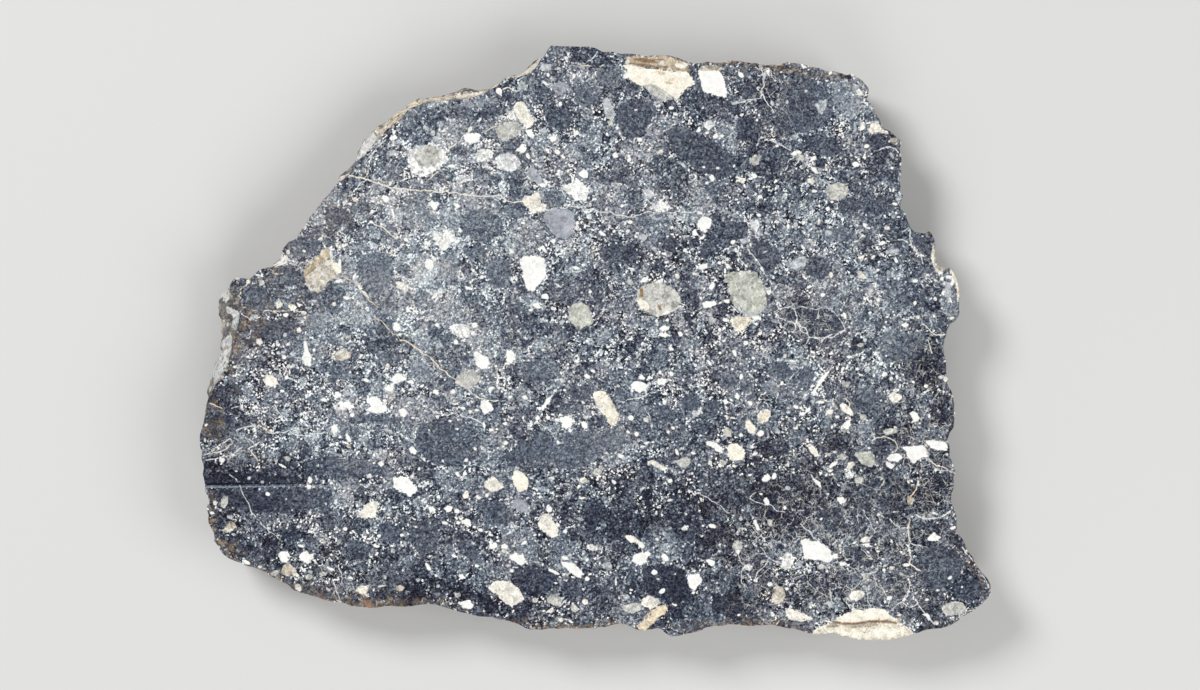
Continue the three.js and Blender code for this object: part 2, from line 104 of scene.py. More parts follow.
# Clasts of the upper face. A letter for the colour, then either a polygon or one ellipse (middle, half axes, turn).
CLASTS = """
C 517,102 523,101 526.5,107 534,121 532,126 527,128 521,122 514,112 513,107
B 494,128 500,124.5 509,121 518,122 523,128 519,134 511,138 503,141 497,136
S 505,119 510,110 513,112 516,119 508,120
W 464,136 467,134 476,132.5 481,135 479,140 472,143 465,142
S 408,150 420,147 433,142 440,149 446,152 448,158 442,168 433,173 421,178 411,172 408,163
S 474,156 478,150 486,149 493,152 491,159 484,162 476,159
X 496,158 502,154 509,152 516,156 521,163 517,170 508,172 499,169 496,163
W 516,150 521,144 526,144 526,151 521,153
W 549,138 554,134 557,135 556,141 551,142
W 553,151 558,149 561,153 557,155
W 563,157,2.6,1.8,40
W 573,131 577,130 580,134 574,136
W 578,173 584,169 588,172 588,178 582,178
W 539,183 544,178 549,182 545,188 540,187
G 527,168 534,169 540,175 545,183 538,184 531,178 527,172
W 525,130 531,130 535,136 533,139 527,136
L 542,128 546,127 547,134 543,135
G 553,85 557,82 567,83 568,88 562,95 556,93 551,87
L 540,64 552,64 551,70 542,71
W 574,76,2,3,-20
W 545,83,4,1.6,35
W 499,91,2.6,4,-20
W 560,104,1.6,3,10
L 436,139,4,2,-20
L 426,128,4,2.2,20
L 433,133,2.5,3,20
L 457,126,2.5,1.5,0
W 422,182,1.8,2,0
W 408,141,1.6,1.6,0
W 443,131,2,1.4,0
W 547,150,1.8,1.8,0
L 520,168,2,1.5,0
W 528,156,2.2,3.5,-25
W 452,166,4,1.6,5
L 486,165,2,3,0
C 470,129,2,3,30
W 548,75,2,2.2,0
W 533,161,1.5,2,0
L 523,86,3,5,-30
W 698,70 703,67.5 715,69 722,73 724,80 727,92 725,98 714,95 704,92 701,84 699,75
L 602,97 608,98 613,107 616,112 612,119 606,118 603,108
T 607,121 612,120 613,124 609,126
X 703,126 708,120 715,122 716,125 709,130
W 712,135 717,133 719,137 714,139
W 707,133,2.4,1.8,-20
W 699,130,2,2.6,0
W 637,138 641,137 643,141 638,142
W 612,154 616,152 619,157 614,158
W 629,160,2.4,2,-40
L 649,155,4.5,1.8,5
C 656,152 662,149 664,152 658,154
W 671,108,3,2,0
W 667,116,2,1.6,0
W 741,75,2.4,3.4,-30
L 764,76,1.8,5,10
W 768,71,2,1.6,0
L 760,66,2.4,1.6,30
L 735,103,4,1.6,-15
L 751,100,5,1.3,-10
L 772,103,2,3.4,-20
L 787,102,2,2.5,0
L 795,137,3.6,2.8,0
W 797,153,5,2.6,-15
B 748,163 750,158 755,155 759,152 761,158 759,164 754,165
C 738,177 746,178 744,184 739,182
W 754,176,3,2.6,30
W 712,178,2.6,3.8,-35
W 707,183,2,1.6,0
W 718,168,2,1.4,0
W 704,167,2,1.4,0
W 734,166,1.6,1.8,0
L 683,165,3.4,1.8,40
W 617,128,1.8,2.4,-20
W 607,134,1.4,2.2,-20
W 605,142,1.6,1.2,0
L 690,182,2.5,1.5,0
W 626,76,3.4,3,-30
W 759,115,1.6,2,0
W 757,120,1.3,1.6,0
W 636,110,2.5,1,-10
L 730,137,2,2,0
W 722,136,2,1.8,0
W 703,108,1.5,1,-30
W 781,72,1.6,1,0
C 777,146,2,2,0
L 815,104 821,100 827,99 827,103 824,110 822,115 819,113 816,108
L 806,91,2,1.8,0
W 800,63 804,64 808,68 803,69
W 828,72 831,70 833,73 829,75
W 849,74 853,72 856,76 851,76
C 856,91 859,88 863,94 859,96
L 862,106,2,2,0
C 860,121 866,125 864,130 860,130
C 873,121 878,121 881,127 888,132 890,135 882,133 875,132 869,134 869,128 871,124
T 888,141 890,139 897,137 900,138 897,142 892,143
C 901,143,1.6,2,0
W 901,155,2,1.8,0
W 852,163 856,161 860,164 858,167 853,167
C 867,146,3,2,0
W 808,163 812,157 816,155 817,160 812,161
W 810,166 815,168 820,173 816,174 811,169
B 826,189 829,185 838,182 846,184 849,190 845,198 836,201 828,198
C 811,181,4,3.4,0
B 800,157,4.5,3,30
W 841,131,1.8,1.4,-20
L 855,128,1.5,5,5
L 864,110,1.5,3,10
W 827,81,1.6,1.2,0
W 818,84,1.2,1,0
W 839,90,1.2,1.2,0
W 853,95,1.4,1.2,0
L 870,105,2,4,-10
W 874,108,1.4,1.4,0
W 841,158,1.2,1.6,0
L 892,156,3.6,1.6,55
L 888,161,1.6,3,-20
W 901,164,2.4,1.4,-30
W 892,168,2,1.4,-20
W 868,123,3,1,-10
L 845,85,1.5,1.5,0
C 276,306 277,301 280,300 283,304 281,308 277,309
C 287,305 292,304 297,307 295,310 291,311
C 304,313,3,2,0
W 286,315,3,2,-10
L 254,317,5,2,-25
C 299,330,2.2,2.8,0
L 285,335,2.4,2.4,0
B 262,283,3,3.4,0
C 248,282,2.4,2.8,0
T 236,278,3,2,0
C 288,252,2,2.6,-20
C 304,251,2.4,1.4,20
W 382,196 386,195 390,198 388,202 384,202
W 391,208 393,209 395,217 393,220 392,214
W 371,222,2.2,2,0
T 344,203,2.4,2.2,0
C 355,199,4,2.4,30
C 350,204,2,1.6,0
W 334,281 341,279 343,282 336,283
C 361,290 366,292 370,299 367,298 363,294
W 343,297 347,296 351,299 346,300
C 395,281 399,281 403,283 409,291 404,292 397,287
W 392,324 397,321 400,324 400,330 397,332 393,329
L 313,301,5,1.5,-3
L 308,308,3,1.4,0
C 334,304,2.6,2.4,0
W 390,221,2.4,1.2,0
L 348,259,3.4,1.6,-35
C 360,287,1.6,3,-30
W 396,272,1.5,1.5,0
W 354,277,1.6,3,30
L 290,288,2.4,2,0
W 383,213,1.2,1.2,0
W 426,203 430,202 438,202 438,205 435,211 430,206
W 453,204 456,203 461,206 457,208
W 493,205,1.7,2.4,15
L 497,210,2,2,0
C 522,200 525,196 535,194 540,194 541,203 546,208 542,211 533,213 526,206
W 553,241,2.6,2.4,0
W 577,223,1.8,2.2,0
W 585,226,1.2,3,10
L 579,217,1.6,1.6,0
W 540,247 543,245 546,250 548,253 544,252
W 508,249 511,248 514,252 511,254
W 494,245,1.6,1.2,30
W 520,258 530,256 546,260 546,268 544,276 538,284 535,290 528,291 525,284 522,272 520,262
W 554,283 558,284 562,288 557,286
W 576,268,4.5,1.7,10
W 590,292,2.2,1.8,0
W 540,296 545,293 549,296 548,299 543,299
W 537,306,4.2,2.6,20
L 532,303,2,1.4,0
W 531,310,2.4,1.6,0
L 562,323,2.4,2.8,0
L 508,331,3.6,2,0
W 424,263 427,259 433,260 434,266 430,271 426,268
L 428,255,2.6,2,30
W 444,249,3.4,1.5,-15
W 427,243,3.8,1.8,15
W 428,234,2,1.4,-20
W 458,227 463,231 460,233
W 464,286 470,287 474,289 469,290
L 443,290,3,2.4,30
L 451,292,2.4,1.8,0
L 450,302,4,2.6,-20
W 405,307 409,308 411,312 407,312
W 404,237 407,238 409,242 404,241
W 437,325,2.4,2,0
T 468,332,2,1.6,0
W 414,334,2.2,1.6,0
W 517,317,1.8,1.4,0
W 523,223,2.6,1.6,10
W 519,228,2.6,1.4,-20
W 508,224,1.4,1.2,0
W 483,273,1.8,1.5,0
W 600,232,2,1.6,0
L 514,303,2,1.2,0
W 452,238,1.6,1.6,0
L 585,237,2,1.6,0
L 429,315,2,1.4,-30
L 488,307,2.4,1.2,-20
W 466,257,2,1.2,0
L 526,232,2,2,0
W 537,236,1.6,1.4,0
W 567,260,1.6,1.4,0
W 583,265,2,1.2,0
W 593,306,1.5,1.2,0
L 557,246,3,2,20
W 562,251,1.6,2,0
S 654,206 658,201 665,200 669,205 667,211 660,213 655,210
X 642,190 652,190 655,195 650,198 645,195
W 698,222 701,217 706,216 711,219 711,226 706,232 702,232 697,226
W 692,232 695,229 698,234 694,236
W 702,238,2.6,1.6,-10
X 748,221 753,220 757,220 760,224 757,232 752,228
W 759,215,2.6,1.9,15
L 768,221,2,2.4,0
C 788,226,1.8,2.4,0
L 796,226,2.4,4,0
L 782,236,1.6,2,0
W 733,242,2.6,2.6,0
L 743,241,3,2.6,40
W 736,250,1.5,3,-15
W 738,260,1.3,2,0
W 756,260,1.8,1.6,0
W 762,269,1.2,3,-35
W 728,266,3.2,1.5,45
W 725,271,1.3,3,10
W 746,266,2.2,1.6,30
W 685,250,2.6,2.3,0
L 690,256,2,1.8,0
W 664,254,2.8,1.4,10
L 655,250,4.4,1.6,50
W 667,262,2.8,1.4,-10
W 697,268 701,264 708,263 707,268 700,270
C 695,274,2.8,1.8,0
C 677,276,3,3,0
W 708,288 712,281 715,282 715,286 712,290
W 640,282 642,278 648,276 649,280 644,283
W 654,283 658,280 663,278 663,282 658,284
L 611,287,1.8,4,-15
L 620,291,2,1.8,0
B 630,282,3.6,3,-20
L 617,274,3,1.2,0
W 633,269,3,1.1,20
B 636,300 638,290 644,285 652,283 662,283 671,287 678,292 681,300 679,308 672,312 663,316 650,315 642,311 638,306
T 641.5,292,1.9,4,0
T 660,308,1.6,2.5,0
T 649,313,2,1,20
W 702,303 706,301 715,301 717,304 712,307 704,308
W 720,303,1.4,1.4,0
W 723,300 729,299 730,303 725,303
W 701,298,1.6,1.4,0
L 716,295,3,1,-20
O 724,279 733,273 740,272 748,271 756,272 760,278 765,287 766,298 767,305 760,311 750,315 742,311 735,307 731,301 730,290 727,284
C 731,323 734,318 742,316 750,318 753,322 747,328 742,333 736,331
W 757,318,4,1.9,0
W 756,324,2.6,1.6,10
W 725,320,3.4,2.2,30
B 712,320,4,3,0
S 769,291,4,3.4,0
L 774,321,3,2,10
L 787,264 796,258 803,256 808,260 806,266 797,269 790,268
W 659,328 664,325 670,327 669,330 662,331
W 664,335,5,2,0
W 678,332 681,331 683,336 679,337
L 637,325,2,1.8,0
W 598,232 603,232 607,236 602,236
W 628,231,2.4,1.8,0
W 630,222,2.8,1.6,10
L 643,237,4.2,3.6,0
W 622,206,2,1.6,-30
L 640,229,2.6,1.6,-20
L 671,217,3.4,3,0
W 700,213,2.4,1.2,0
L 726,213,2.2,1.6,0
W 711,206,1.2,1,0
L 723,219,1.5,3,0
L 606,241,1.6,2,0
C 723,262,1.2,2,0
L 672,268,1.5,2.5,20
L 790,294,3,2.4,20
W 776,287,1.4,1.8,0
W 683,318,1.2,1,0
L 698,329,1.5,2.5,-20
W 727,315,1.5,1,20
L 716,253,1.5,1,0
W 742,247,2,1,40
L 765,252,3,1,-20
L 784,196,1.6,1.6,0
W 832,202,2.2,1.4,0
W 814,191,3.2,1.5,0
W 828,209,2,2.5,-30
W 819,206,2,1.8,0
W 803,247,1.5,3.4,-30
W 863,222 867,224 866,229 863,226
W 857,225,2.2,1.2,20
L 855,222,1.4,1.2,0
W 869,228,1.3,1.2,0
C 887,228,3.1,2.2,20
B 893,217,2,2,0
W 896,213,1.8,1.2,20
C 895,204,3,1.6,20
W 882,243,4,1.9,-15
L 888,249 893,250 899,248 899,254 894,256 890,253
W 893,258 896,256 898,262 896,263
C 873,257,3,2,-30
C 861,257,4,1.5,-10
C 857,271 861,271 864,275 867,278 864,280 858,278
W 878,270,2,1.8,0
L 869,270,2,1,-10
L 888,273,2.4,1,-10
C 831,275,2,3,0
L 816,284,4,2.6,-30
L 825,284,2,4,0
W 823,295,2.6,2.2,0
W 809,287,3,1.6,-30
W 878,300,2.3,1.8,0
L 871,303,1.5,1.4,0
W 870,313,1.8,1.6,0
L 863,294,1,1,0
W 845,317,1.5,2.4,-20
W 915,303,2,2.5,0
C 918,317,2.5,2.2,0
W 905,325,4,1.9,0
W 915,281,3,1.8,0
W 928,275,1.4,1.4,0
W 949,277,3.6,1.9,10
C 946,292 950,293 951,300 952,303 948,303 947,298
C 933,244 935,246 935.5,255 937,262 942,268 941,274 936,272 933,265 931,258 932,250
W 945,283,2,1.6,0
W 952,284,1.6,2,0
W 941,273,3,1.4,-20
L 947,288,2,1.4,0
C 935,299,2,2.4,0
W 934,316,1.4,2,20
C 942,308,1.6,1.2,0
C 952,318,3,1.6,-20
W 886,322,1.6,1.4,0
W 866,215,1.2,1.2,0
L 828,233,4,3,0
C 819,221,1.5,3,0
L 803,228,3,1.4,20
C 256,339 261,338 263,342 260,346 257,344
W 304,341 306,341 308,350 312,356 310,367 306,366 302,360 302,355 304,350
S 284,357,2.5,2.2,0
L 292,354,2.8,2,20
L 278,353,2,1.6,0
W 314,350,1.4,2,0
W 314,359,1.5,1.4,0
P 333,356 338,351 344,350 352,353 350,358 342,361 335,360
C 388,366,2.4,2.2,0
W 369,371,2.2,1.8,0
W 350,372,1.4,1.4,0
C 263,381 268,376 273,376 278,380 277,385 270,387 265,385
W 284,378 287,374 289,378 286,380
T 286,371,1.4,1.4,0
W 263,376,2.6,1.1,10
T 239,375,1.6,1.6,0
T 222,377,2,2.4,0
L 247,370,1.4,1.2,0
W 282,391,2.7,1.7,10
L 276,396,2.6,2,0
W 276,402,2,1.4,30
W 320,400 324,397 328,401 324,402
W 333,395 337,391 342,394 340,398 335,398
S 333,405 340,402 348,401 355,405 350,410 342,411 335,408
W 334.5,406,1.6,1.6,0
W 352,415,2.5,2.4,0
W 345,417,1.1,1.1,0
W 362,404,1.5,1.4,0
W 368,399 373,397 379,398 382,402 388,400 385,404 387,410 381,414 375,412 368,409 372,406 369,402
W 391,379 395,375 401,374 405,377 406,380 401,382 396,384 393,382
W 384,387 388,385 393,383 394,388 391,392 387,390
W 366,380,3.4,2,20
W 352,386,2.4,1.2,0
W 322,388,1.2,1.2,0
W 314,389,1.7,1.6,0
B 392,395,4,2.6,0
W 399,410 404,408 408,413 404,418 400,416
W 330,427 334,424 338,428 337,434 335,437 332,432
W 345,434 348,433 351,439 350,443 347,440
T 349,446,2.6,2.2,0
O 284,456 288,456 291,459 289,462 285,460
O 276,460,2.6,2,0
W 283,466,4.6,1.2,28
W 222,460,3,2.8,0
W 233,455,1.8,1.5,0
W 377,463 381,461 385,464 381,467
W 374,455,1.5,2,0
W 374,463,1.6,1.2,0
W 393,479 399,477 407,478 413,482 418,488 410,492 400,493 394,488
W 310,480,2.6,3.4,0
W 309,487,2.4,2.6,-20
L 317,479,1.5,1.5,0
L 318,465,1.2,2,0
L 249,478,2,2,0
L 262,482,2.2,1.4,0
L 367,486,1.6,2,0
S 369,476,3.4,2.4,0
W 305,413,2.6,1,5
W 254,408,2,1.6,0
W 264,412,2.6,1.4,10
L 281,417,2,1.2,-30
C 206,425,2,1.8,0
W 263,452,1.1,1.1,0
C 283,352,2,1.2,0
L 359,446,1.6,1.4,0
W 386,451,2.4,1,-20
C 205,440,1.5,2.5,0
W 343,451,2,1.2,40
C 235,367,3,1.6,0
L 305,339,2,1.6,0
W 456,342,2.7,2.4,20
W 469,352,1.6,1.1,0
C 474,351 478,352 480,356 487,356 489,361 486,368 479,367 474,362 476,357
W 495,356,1.6,1.6,0
W 506,351 512,351 516,356 513,359 510,363 507,358
W 529,351,1.7,1.6,0
W 543,350,2.4,1.4,10
W 587,341,2,1.6,30
W 577,361,3.4,1.3,12
L 574,367,3,1.1,-15
W 586,353,1.5,1.4,0
W 593,371,3,1.2,30
W 583,376 587,373 591,377 587,379
C 562,381,2,2.4,0
W 561,373,1.4,2,0
C 565,390,1.7,1.4,0
W 498,381,1.2,2,0
L 520,374,3.6,1.2,5
L 543,383,1.6,2.5,-15
W 500,370,1.5,1.3,0
B 456,378 461,372 468,371 476,373 481,377 478,382 474,387 468,389 460,386 455,383
C 457,382,2.4,2.4,0
W 411,382,3.4,1.9,10
W 422,386,2,1.8,0
W 436,392,3.6,2.4,40
W 449,393 453,389 456,391 454,394
W 492,388,3,1.6,-15
W 481,403 485,400 489,400 493,407 492,411 485,413 482,408
W 463,408,3,2,20
C 470,412,2.4,2,0
W 477,410,2.8,1.6,0
W 456,404,1.7,1.4,0
L 451,403,2,2,0
W 491,430,3.2,1.5,-5
W 497,429,2,1.4,0
W 484,425,1.3,3.6,-10
W 510,397,2.5,1.8,0
W 521,396 526,395 528,399 524,400
L 511,408,4.5,1.8,-5
W 541,410 543,405 547,398 551,397 550,402 546,406 543,411
W 535,417 539,416 540,419 536,420
L 529,428,2.2,2.5,0
C 523,418,1.2,1.8,0
W 561,418 565,417 569,419 571,425 568,429 564,426 561,423
W 557,420,2,2,0
W 573,421,1.6,1.4,0
W 581,424 584,423 588,428 585,429
W 437,416,2,1.1,0
W 450,421,2,1.6,20
W 413,418,2.4,1.2,0
W 457,429,2.2,1.2,5
W 429,430,1.2,1.1,0
W 409,448 412,446 417,451 415,455 411,453
C 424,459,1.8,1.6,0
W 419,469,1.6,1.8,0
W 443,461,1.2,2,-30
W 463,462 466,458 469,459 467,462
W 454,471 459,472 460,477 457,477
W 465,473,2.1,1.7,0
W 462,477,2.2,1,10
C 502,443 506,440 509,443 506,445
W 558,442,1.4,2.2,-35
L 535,461,1.6,1.4,0
C 485,483 488,478 494,476 498,481 502,484 504,488 497,490 488,489
C 513,474 516,470 519,472 524,477 528,485 526,490 519,489 514,484 513,478
C 583,480,4,2.8,0
B 597,472,4,4,0
L 566,484,3.4,1.2,10
L 512,444,1.6,1.2,0
L 503,401,2,1,0
W 571,407,1.1,1.1,0
W 579,414,1.1,1.1,0
W 505,424,1.6,1.4,0
L 520,405,1.5,2,0
W 472,402,1.4,1.2,0
L 445,393,1.8,1.6,0
C 475,449,1.6,2.4,-30
C 592,393 600,391 604,393 609,402 617,412 618,420 615,425 610,425 605,416 600,411 595,402
W 643,343,1.6,1.4,0
W 671,349,3.2,1.7,15
W 638,377 641,374 646,378 644,380 639,379
S 631,385 636,382 642,382 648,386 646,391 643,393 638,389 633,389
W 632,391,1.6,2,0
C 618,386,2.4,1.4,0
W 655,381 661,379 666,380 664,383 658,385
W 660,372,1.7,1.9,0
W 668,373 671,371 674,374 672,377
L 681,389,2,1.6,0
W 664,402,1.8,2.5,0
L 694,416 695,411 701,408 702,411 698,414
W 706,360 709,360 712,364 710,366
W 732,350 735,349 737,354 736,357 733,354
W 746,343,2.5,2.8,0
W 724,341,2,1.4,0
W 753,358,2,1.8,0
W 755,371,2,1.5,0
W 768,376,2.2,1,20
C 785,356,2.2,2.4,0
W 782,383,1.9,2.7,0
W 793,361,4,1.2,10
W 741,377,1.8,3.4,0
C 757,380,2,1.6,0
W 716,383,1.6,1.6,0
W 734,397 737,392 740,397 738,400
W 722,401 726,399 729,402 726,405
W 731,400,2,1.6,30
W 746,401 751,401 753,404 751,407
C 757,416 760,411 765,409 770,411 771,415 767,420 762,423 758,421
C 746,427 748,420 752,422 756,427 756,432 751,434 747,430
C 756,434 760,430 765,431 763,436 758,437
L 773,432 777,427 781,433
O 722,431 727,427 732,431 731,437 726,437
W 741,435,1.8,2.4,20
C 726,416,2,1.6,0
W 733,418,3,1.2,10
L 788,412,2.4,2,0
W 796,407,3,1.8,20
C 796,428,3,1.6,-15
W 631,418,3,2.6,0
C 646,420,3,2.3,20
L 652,425,1.2,3,0
W 673,428,2.6,1.5,30
W 633,434 637,431 640,434 637,437
W 628,432,2.8,1.5,45
C 668,432,2,2,0
W 621,456,3.3,2.2,10
L 614,443,1.4,1.4,0
L 618,450,1.6,1.4,0
W 646,443,3,1.6,-10
W 653,442,1.7,1.5,0
W 706,442 710,441 716,443 721,448 722,452 716,451 710,445
W 727,446 732,444 739,446 744,449 745,454 740,460 733,459 728,454 730,450
W 752,447,2.4,1.6,0
W 755,454,3.6,1.7,-20
W 693,453,2.9,1.6,15
C 677,452,1.8,4,-20
W 647,462 652,460 657,463 663,467 667,469 662,469 656,466 650,464
O 677,460 681,457 688,457 690,462 686,467 680,466
C 710,463,2.7,2.2,0
W 699,465,2,1.4,0
B 723,463,3.2,2.4,0
W 734,466,2.4,2,0
G 611,466,3.2,2.6,0
B 601,468,3,3,0
W 761,479 764,475 769,474 771,478 767,482 763,482
W 774,476,2.2,3.6,20
W 670,481,2.6,2.3,0
W 692,474,1.8,1.1,0
W 614,482,3.2,1.8,40
W 750,475,2.6,1.3,-15
W 755,481,1.2,1.2,0
L 788,488,3,2.4,0
W 683,471,1.2,1,0
W 677,427,1.2,1.2,0
L 605,461,1.5,1.2,0
W 627,359,1.8,1.4,0
C 619,359,2,1.5,0
W 720,353,1.6,1.4,0
L 728,347,2.5,1.2,20
W 626,373,1.4,2,0
W 706,433,1,1,0
W 688,421,1.5,1.2,0
L 648,348,2,2,0
W 765,393,2,1,-20
C 788,408,1.5,1.5,0
W 832,367 828,371 822,376 818,381 815,388 812,395 814,397 816,391 820,385 825,379 829,373
L 813,402,1.8,4,10
W 821,402,4.5,1.5,5
W 808,410,3,1.8,-40
W 802,414,3,2,0
W 801,408,2,1.6,0
W 812,352,2.6,1.3,40
L 809,364,2.4,1.5,-30
W 849,357,2.8,1.6,0
B 861,345,4,2,0
W 876,354,2.4,2.6,0
W 881,364,2.4,2,0
W 879,359,1.5,1.5,0
W 886,356,1.2,1.2,0
W 881,376 884,371 888,374 885,377
L 867,370,3,2.8,-30
W 857,369,2,1.6,0
B 846,384,5,2.6,-20
W 894,390,1.4,1.2,0
W 898,390,1.5,1.2,0
C 888,395 893,392 899,393 903,397 899,401 893,404 890,400
W 913,382,1.8,1.6,0
W 926,386,2.4,2,0
W 925,392,2,1.2,0
W 945,361,1.6,1.6,0
C 946,379,2,3.4,0
C 839,407 841,403 848,405 853,412 853,416 847,414 842,411
C 830,412,4,2.8,-15
W 837,417,2.5,1.9,0
O 863,417,3.2,3.6,15
L 867,423,2.4,1,0
W 842,427 844,422 850,420 851,425 847,430
W 832,427,1.2,2,0
L 862,432,3,1.4,0
W 909,413 913,411 917,413 920,418 917,422 913,421 911,417
L 898,415,2,2,0
L 905,416,3.2,1.6,-10
W 929,416,1.5,2.4,10
C 955,413,1.6,2.4,0
O 883,431 890,428 896,429 898,432 893,434 886,434
W 926,441 933,440 943,441 948,446 947,451 940,450 930,448
W 901,447 912,446 923,445 928,450 929,456 921,458 914,464 908,457 904,450
T 927.5,453,1.3,2.6,0
W 887,458 892,454 899,453 902,458 898,462 889,461
W 886,462 891,463 895,465 892,469 886,467
C 893,452,2,1.2,-20
O 854,453 862,452 871,452 874,458 876,464 870,468 862,464 857,459
C 807,445 811,443 817,450 820,456 815,457 809,451
T 835,452,2.2,1.8,0
O 843,457,4,3.6,0
W 828,467 832,463 838,460 837,464 831,468
W 830,471,2.4,1.3,10
W 821,473,2,1.6,0
C 846,470 848,463 853,461 855,464 850,471
S 850,475,4,3.6,0
O 859,480,5,3.6,-10
W 810,473 814,478 820,482 822,488 818,486 813,480
L 803,475,2.6,1.2,-10
T 921,471,1.8,2,0
C 918,483,1.2,3.4,5
L 947,454,2,1.8,0
C 955,473,1.6,2,0
W 895,427,2,1,0
W 848,344,1.5,1,0
L 938,411,1.4,1.4,0
L 932,403,1.5,1,0
L 911,393,1,4,0
W 929,430,1.2,1,0
W 865,357,1,1,0
W 802,389,1.2,1.2,0
L 831,400,2,1.4,0
L 941,377,3,2,0
W 268,494,2.8,2,0
B 221,500 224,495 228,496 228,503 225,509 221,506
C 215,503,2.4,2.6,0
L 208,502,1.8,4.4,0
C 212,513,3,1.6,10
L 230,517,3.2,2,0
C 223,533 230,532 235,528 236,524 233,526 229,529 223,530
T 231,523,2.6,2.6,0
L 214,538,1.8,1.6,0
T 219,547,1.6,2,0
W 246,562,4.6,1.7,30
T 260,567,2.4,1.8,20
W 279,556 283,551 288,552 291,557 288,561 282,560
W 300,557 303,552 307,551 310,555 315,553 314,558 309,564 304,561
W 301,546,3.8,1.4,15
T 281,570 287,564 292,565 297,574 294,577 287,573
B 275,573,5,2.8,-20
T 294,584 299,583 302,589 300,592 296,590
W 302.5,569,1,4,-35
W 331,569,4,1.4,22
L 311,572,2.4,2,0
B 323,574,3.6,2.2,0
O 309,577,4,2.8,0
W 331,560,2.6,.8,45
W 345,529,2.4,1.9,20
W 351,533,2,1.1,30
L 339,542,1.8,3.8,25
W 365,537,2,1.6,0
W 379,536,2.6,2,0
L 315,533,2,1.6,0
W 287,528,1.2,1.2,0
W 376,546,4,1.3,15
C 361,511 363,506 369,503 379,501 377,510 376,517 370,518 364,518 358,516 356,513
C 380,498,1,2.4,0
W 344,491,2.4,1.3,-20
L 393,551,3,2.4,45
L 368,561,2,1.2,0
L 385,577,1.6,2.6,0
T 357,586 362,587 369,585 367,593 362,595 356,591
Q 364,603 368,600 372,603 371,608 367,609
T 400,588,4.4,3.2,0
C 382,586,5,1.1,-10
W 286,499,1,1,0
W 292,510,1.2,1,0
L 323,515,1.6,1.6,0
C 340,602,2,1.4,0
L 245,519,1,1,0
W 368,543,2,1.2,20
L 346,596,1.5,1.3,0
L 304,545,1.4,1.1,0
B 336,589,1.6,1.6,0
C 466,495,3.2,4.4,10
C 478,497,3,2.4,20
W 487,495,2,2,0
W 444,508 448,505 453,507 452,511 447,513
W 457,511,3.2,2.4,0
S 432,509,4,3,20
L 467,513,3,2.6,0
W 463,522,1.5,2,0
W 467.5,522.5,4,3,15
C 458,523,2.2,2,0
W 445,523,3.6,1.6,10
W 480,530,2.6,1.7,0
W 474,527,2.6,1.2,20
C 491,535,3,1.2,20
L 512,523,2.2,1.6,10
G 509,502 516,499 524,500 528,507 531,512 525,514 516,509
W 545,509 548,504 552,508 552,512 548,513
C 538,524 541,516 545,513 550,515 554,522 558,528 559,533 554,538 549,536 543,531 538,527
W 558,525,1.6,2.4,-30
W 565,531,2.6,1.9,0
L 570,520,2.2,1.4,0
L 580,519,4.2,1.5,15
W 488,549 491,544 496,542 498,546 494,549
W 501,545 505,543 509,547 506,549 501,548
C 505,552,3.6,1.5,10
W 524,543,3.6,1.8,-30
W 509,557 513,554 516,552 519,555 523,553 525,559 528,564 521,565 514,561 510,559
W 499,555,1.5,1.3,0
W 512,571,2.6,1.9,-10
L 536,562,5,1.1,10
W 554,572,6.4,1.6,25
W 560,577,2,1,30
W 565,558,4,1.9,15
L 570,555,2.4,1.8,0
W 561,562 566,562 573,563 579,568 583,574 581,578 576,577 570,572 564,567
W 587,579,2.8,2.4,0
W 590,574,1.7,1.3,0
S 593,548,5.5,2.8,20
W 556,583,2,1.5,30
C 488,587 493,582 502,580 512,583 518,588 525,599 518,603 512,607 505,603 497,595 490,591
L 486,582,2.6,1.1,-10
W 458,575 463,574 465,578 461,580
W 454,556,2.5,1.7,20
W 477,566,2.2,1.6,0
L 480,569,1.4,1.2,0
W 428,567,2,4.6,-38
L 418,580,2.5,2,0
L 438,586,2.4,2,0
W 436,575,2,1,20
L 405,544,1.7,3.6,-20
W 402,535,2.4,1.5,0
W 416,527,1.7,1.1,30
W 456,602 464,601 470,600 474,605 471,609 463,608
B 458,595,3.4,2.4,-15
B 546,597 551,595 556,594 562,600 561,607 555,606 548,602
T 545,601,1.2,1.2,0
B 535,600,3,3,0
C 585,602,3.6,2.9,0
B 569,606 573,603 578,607 576,612 571,611
C 551,611,3.8,2,0
W 544,611,1.6,1.5,0
C 561,620,2.5,2.1,0
L 530,619,1.6,1.4,0
C 513,611,1.3,2,20
C 484,611,1.5,1.4,0
L 591,609,1.6,1.4,0
W 571,622,3,1.1,20
W 430,523,1,1,0
W 477,536,1.2,1.2,0
L 473,543,1.2,2.8,-40
W 528,498,2,1.4,0
C 541,497,1.8,1.4,0
C 582,498,4,1,-5
W 439,530,1.5,1,0
L 446,551,1.2,1.4,0
W 535,535,3,1.2,-10
L 413,526,1,1,0
W 587,560,2,1.6,0
W 583,589,1.6,1.2,0
L 523,571,1,1,0
W 670,500,3.2,1.4,-5
W 698,493,1.9,1,0
W 679,492,1.6,1,0
W 686,514,1.5,1.5,0
W 763,499 767,497 770,502 768,506 765,504
W 785,508,2,2.5,0
W 743,510,1.2,1.2,0
W 761,494,2,1.4,30
W 753,520 756,519 758,525 760,530 757,531
B 770,523,2.6,4,-20
L 741,519,2.6,2.6,0
L 797,527,2.6,1,20
S 685,528,4.6,2.4,-15
W 712,526,4,2.2,15
W 703,526,1.5,1.2,0
L 664,533,2,2,0
C 657,539,2.4,1.9,20
W 702,536,2,1.2,-20
L 669,537,1.4,1,0
C 624,535 631,535 637,538 639,542 632,543 627,540
W 638,543 641,541 645,546 643,549 639,547
W 631,560 634,555 641,553 648,552 651,554 647,558 646,563 640,565 634,563
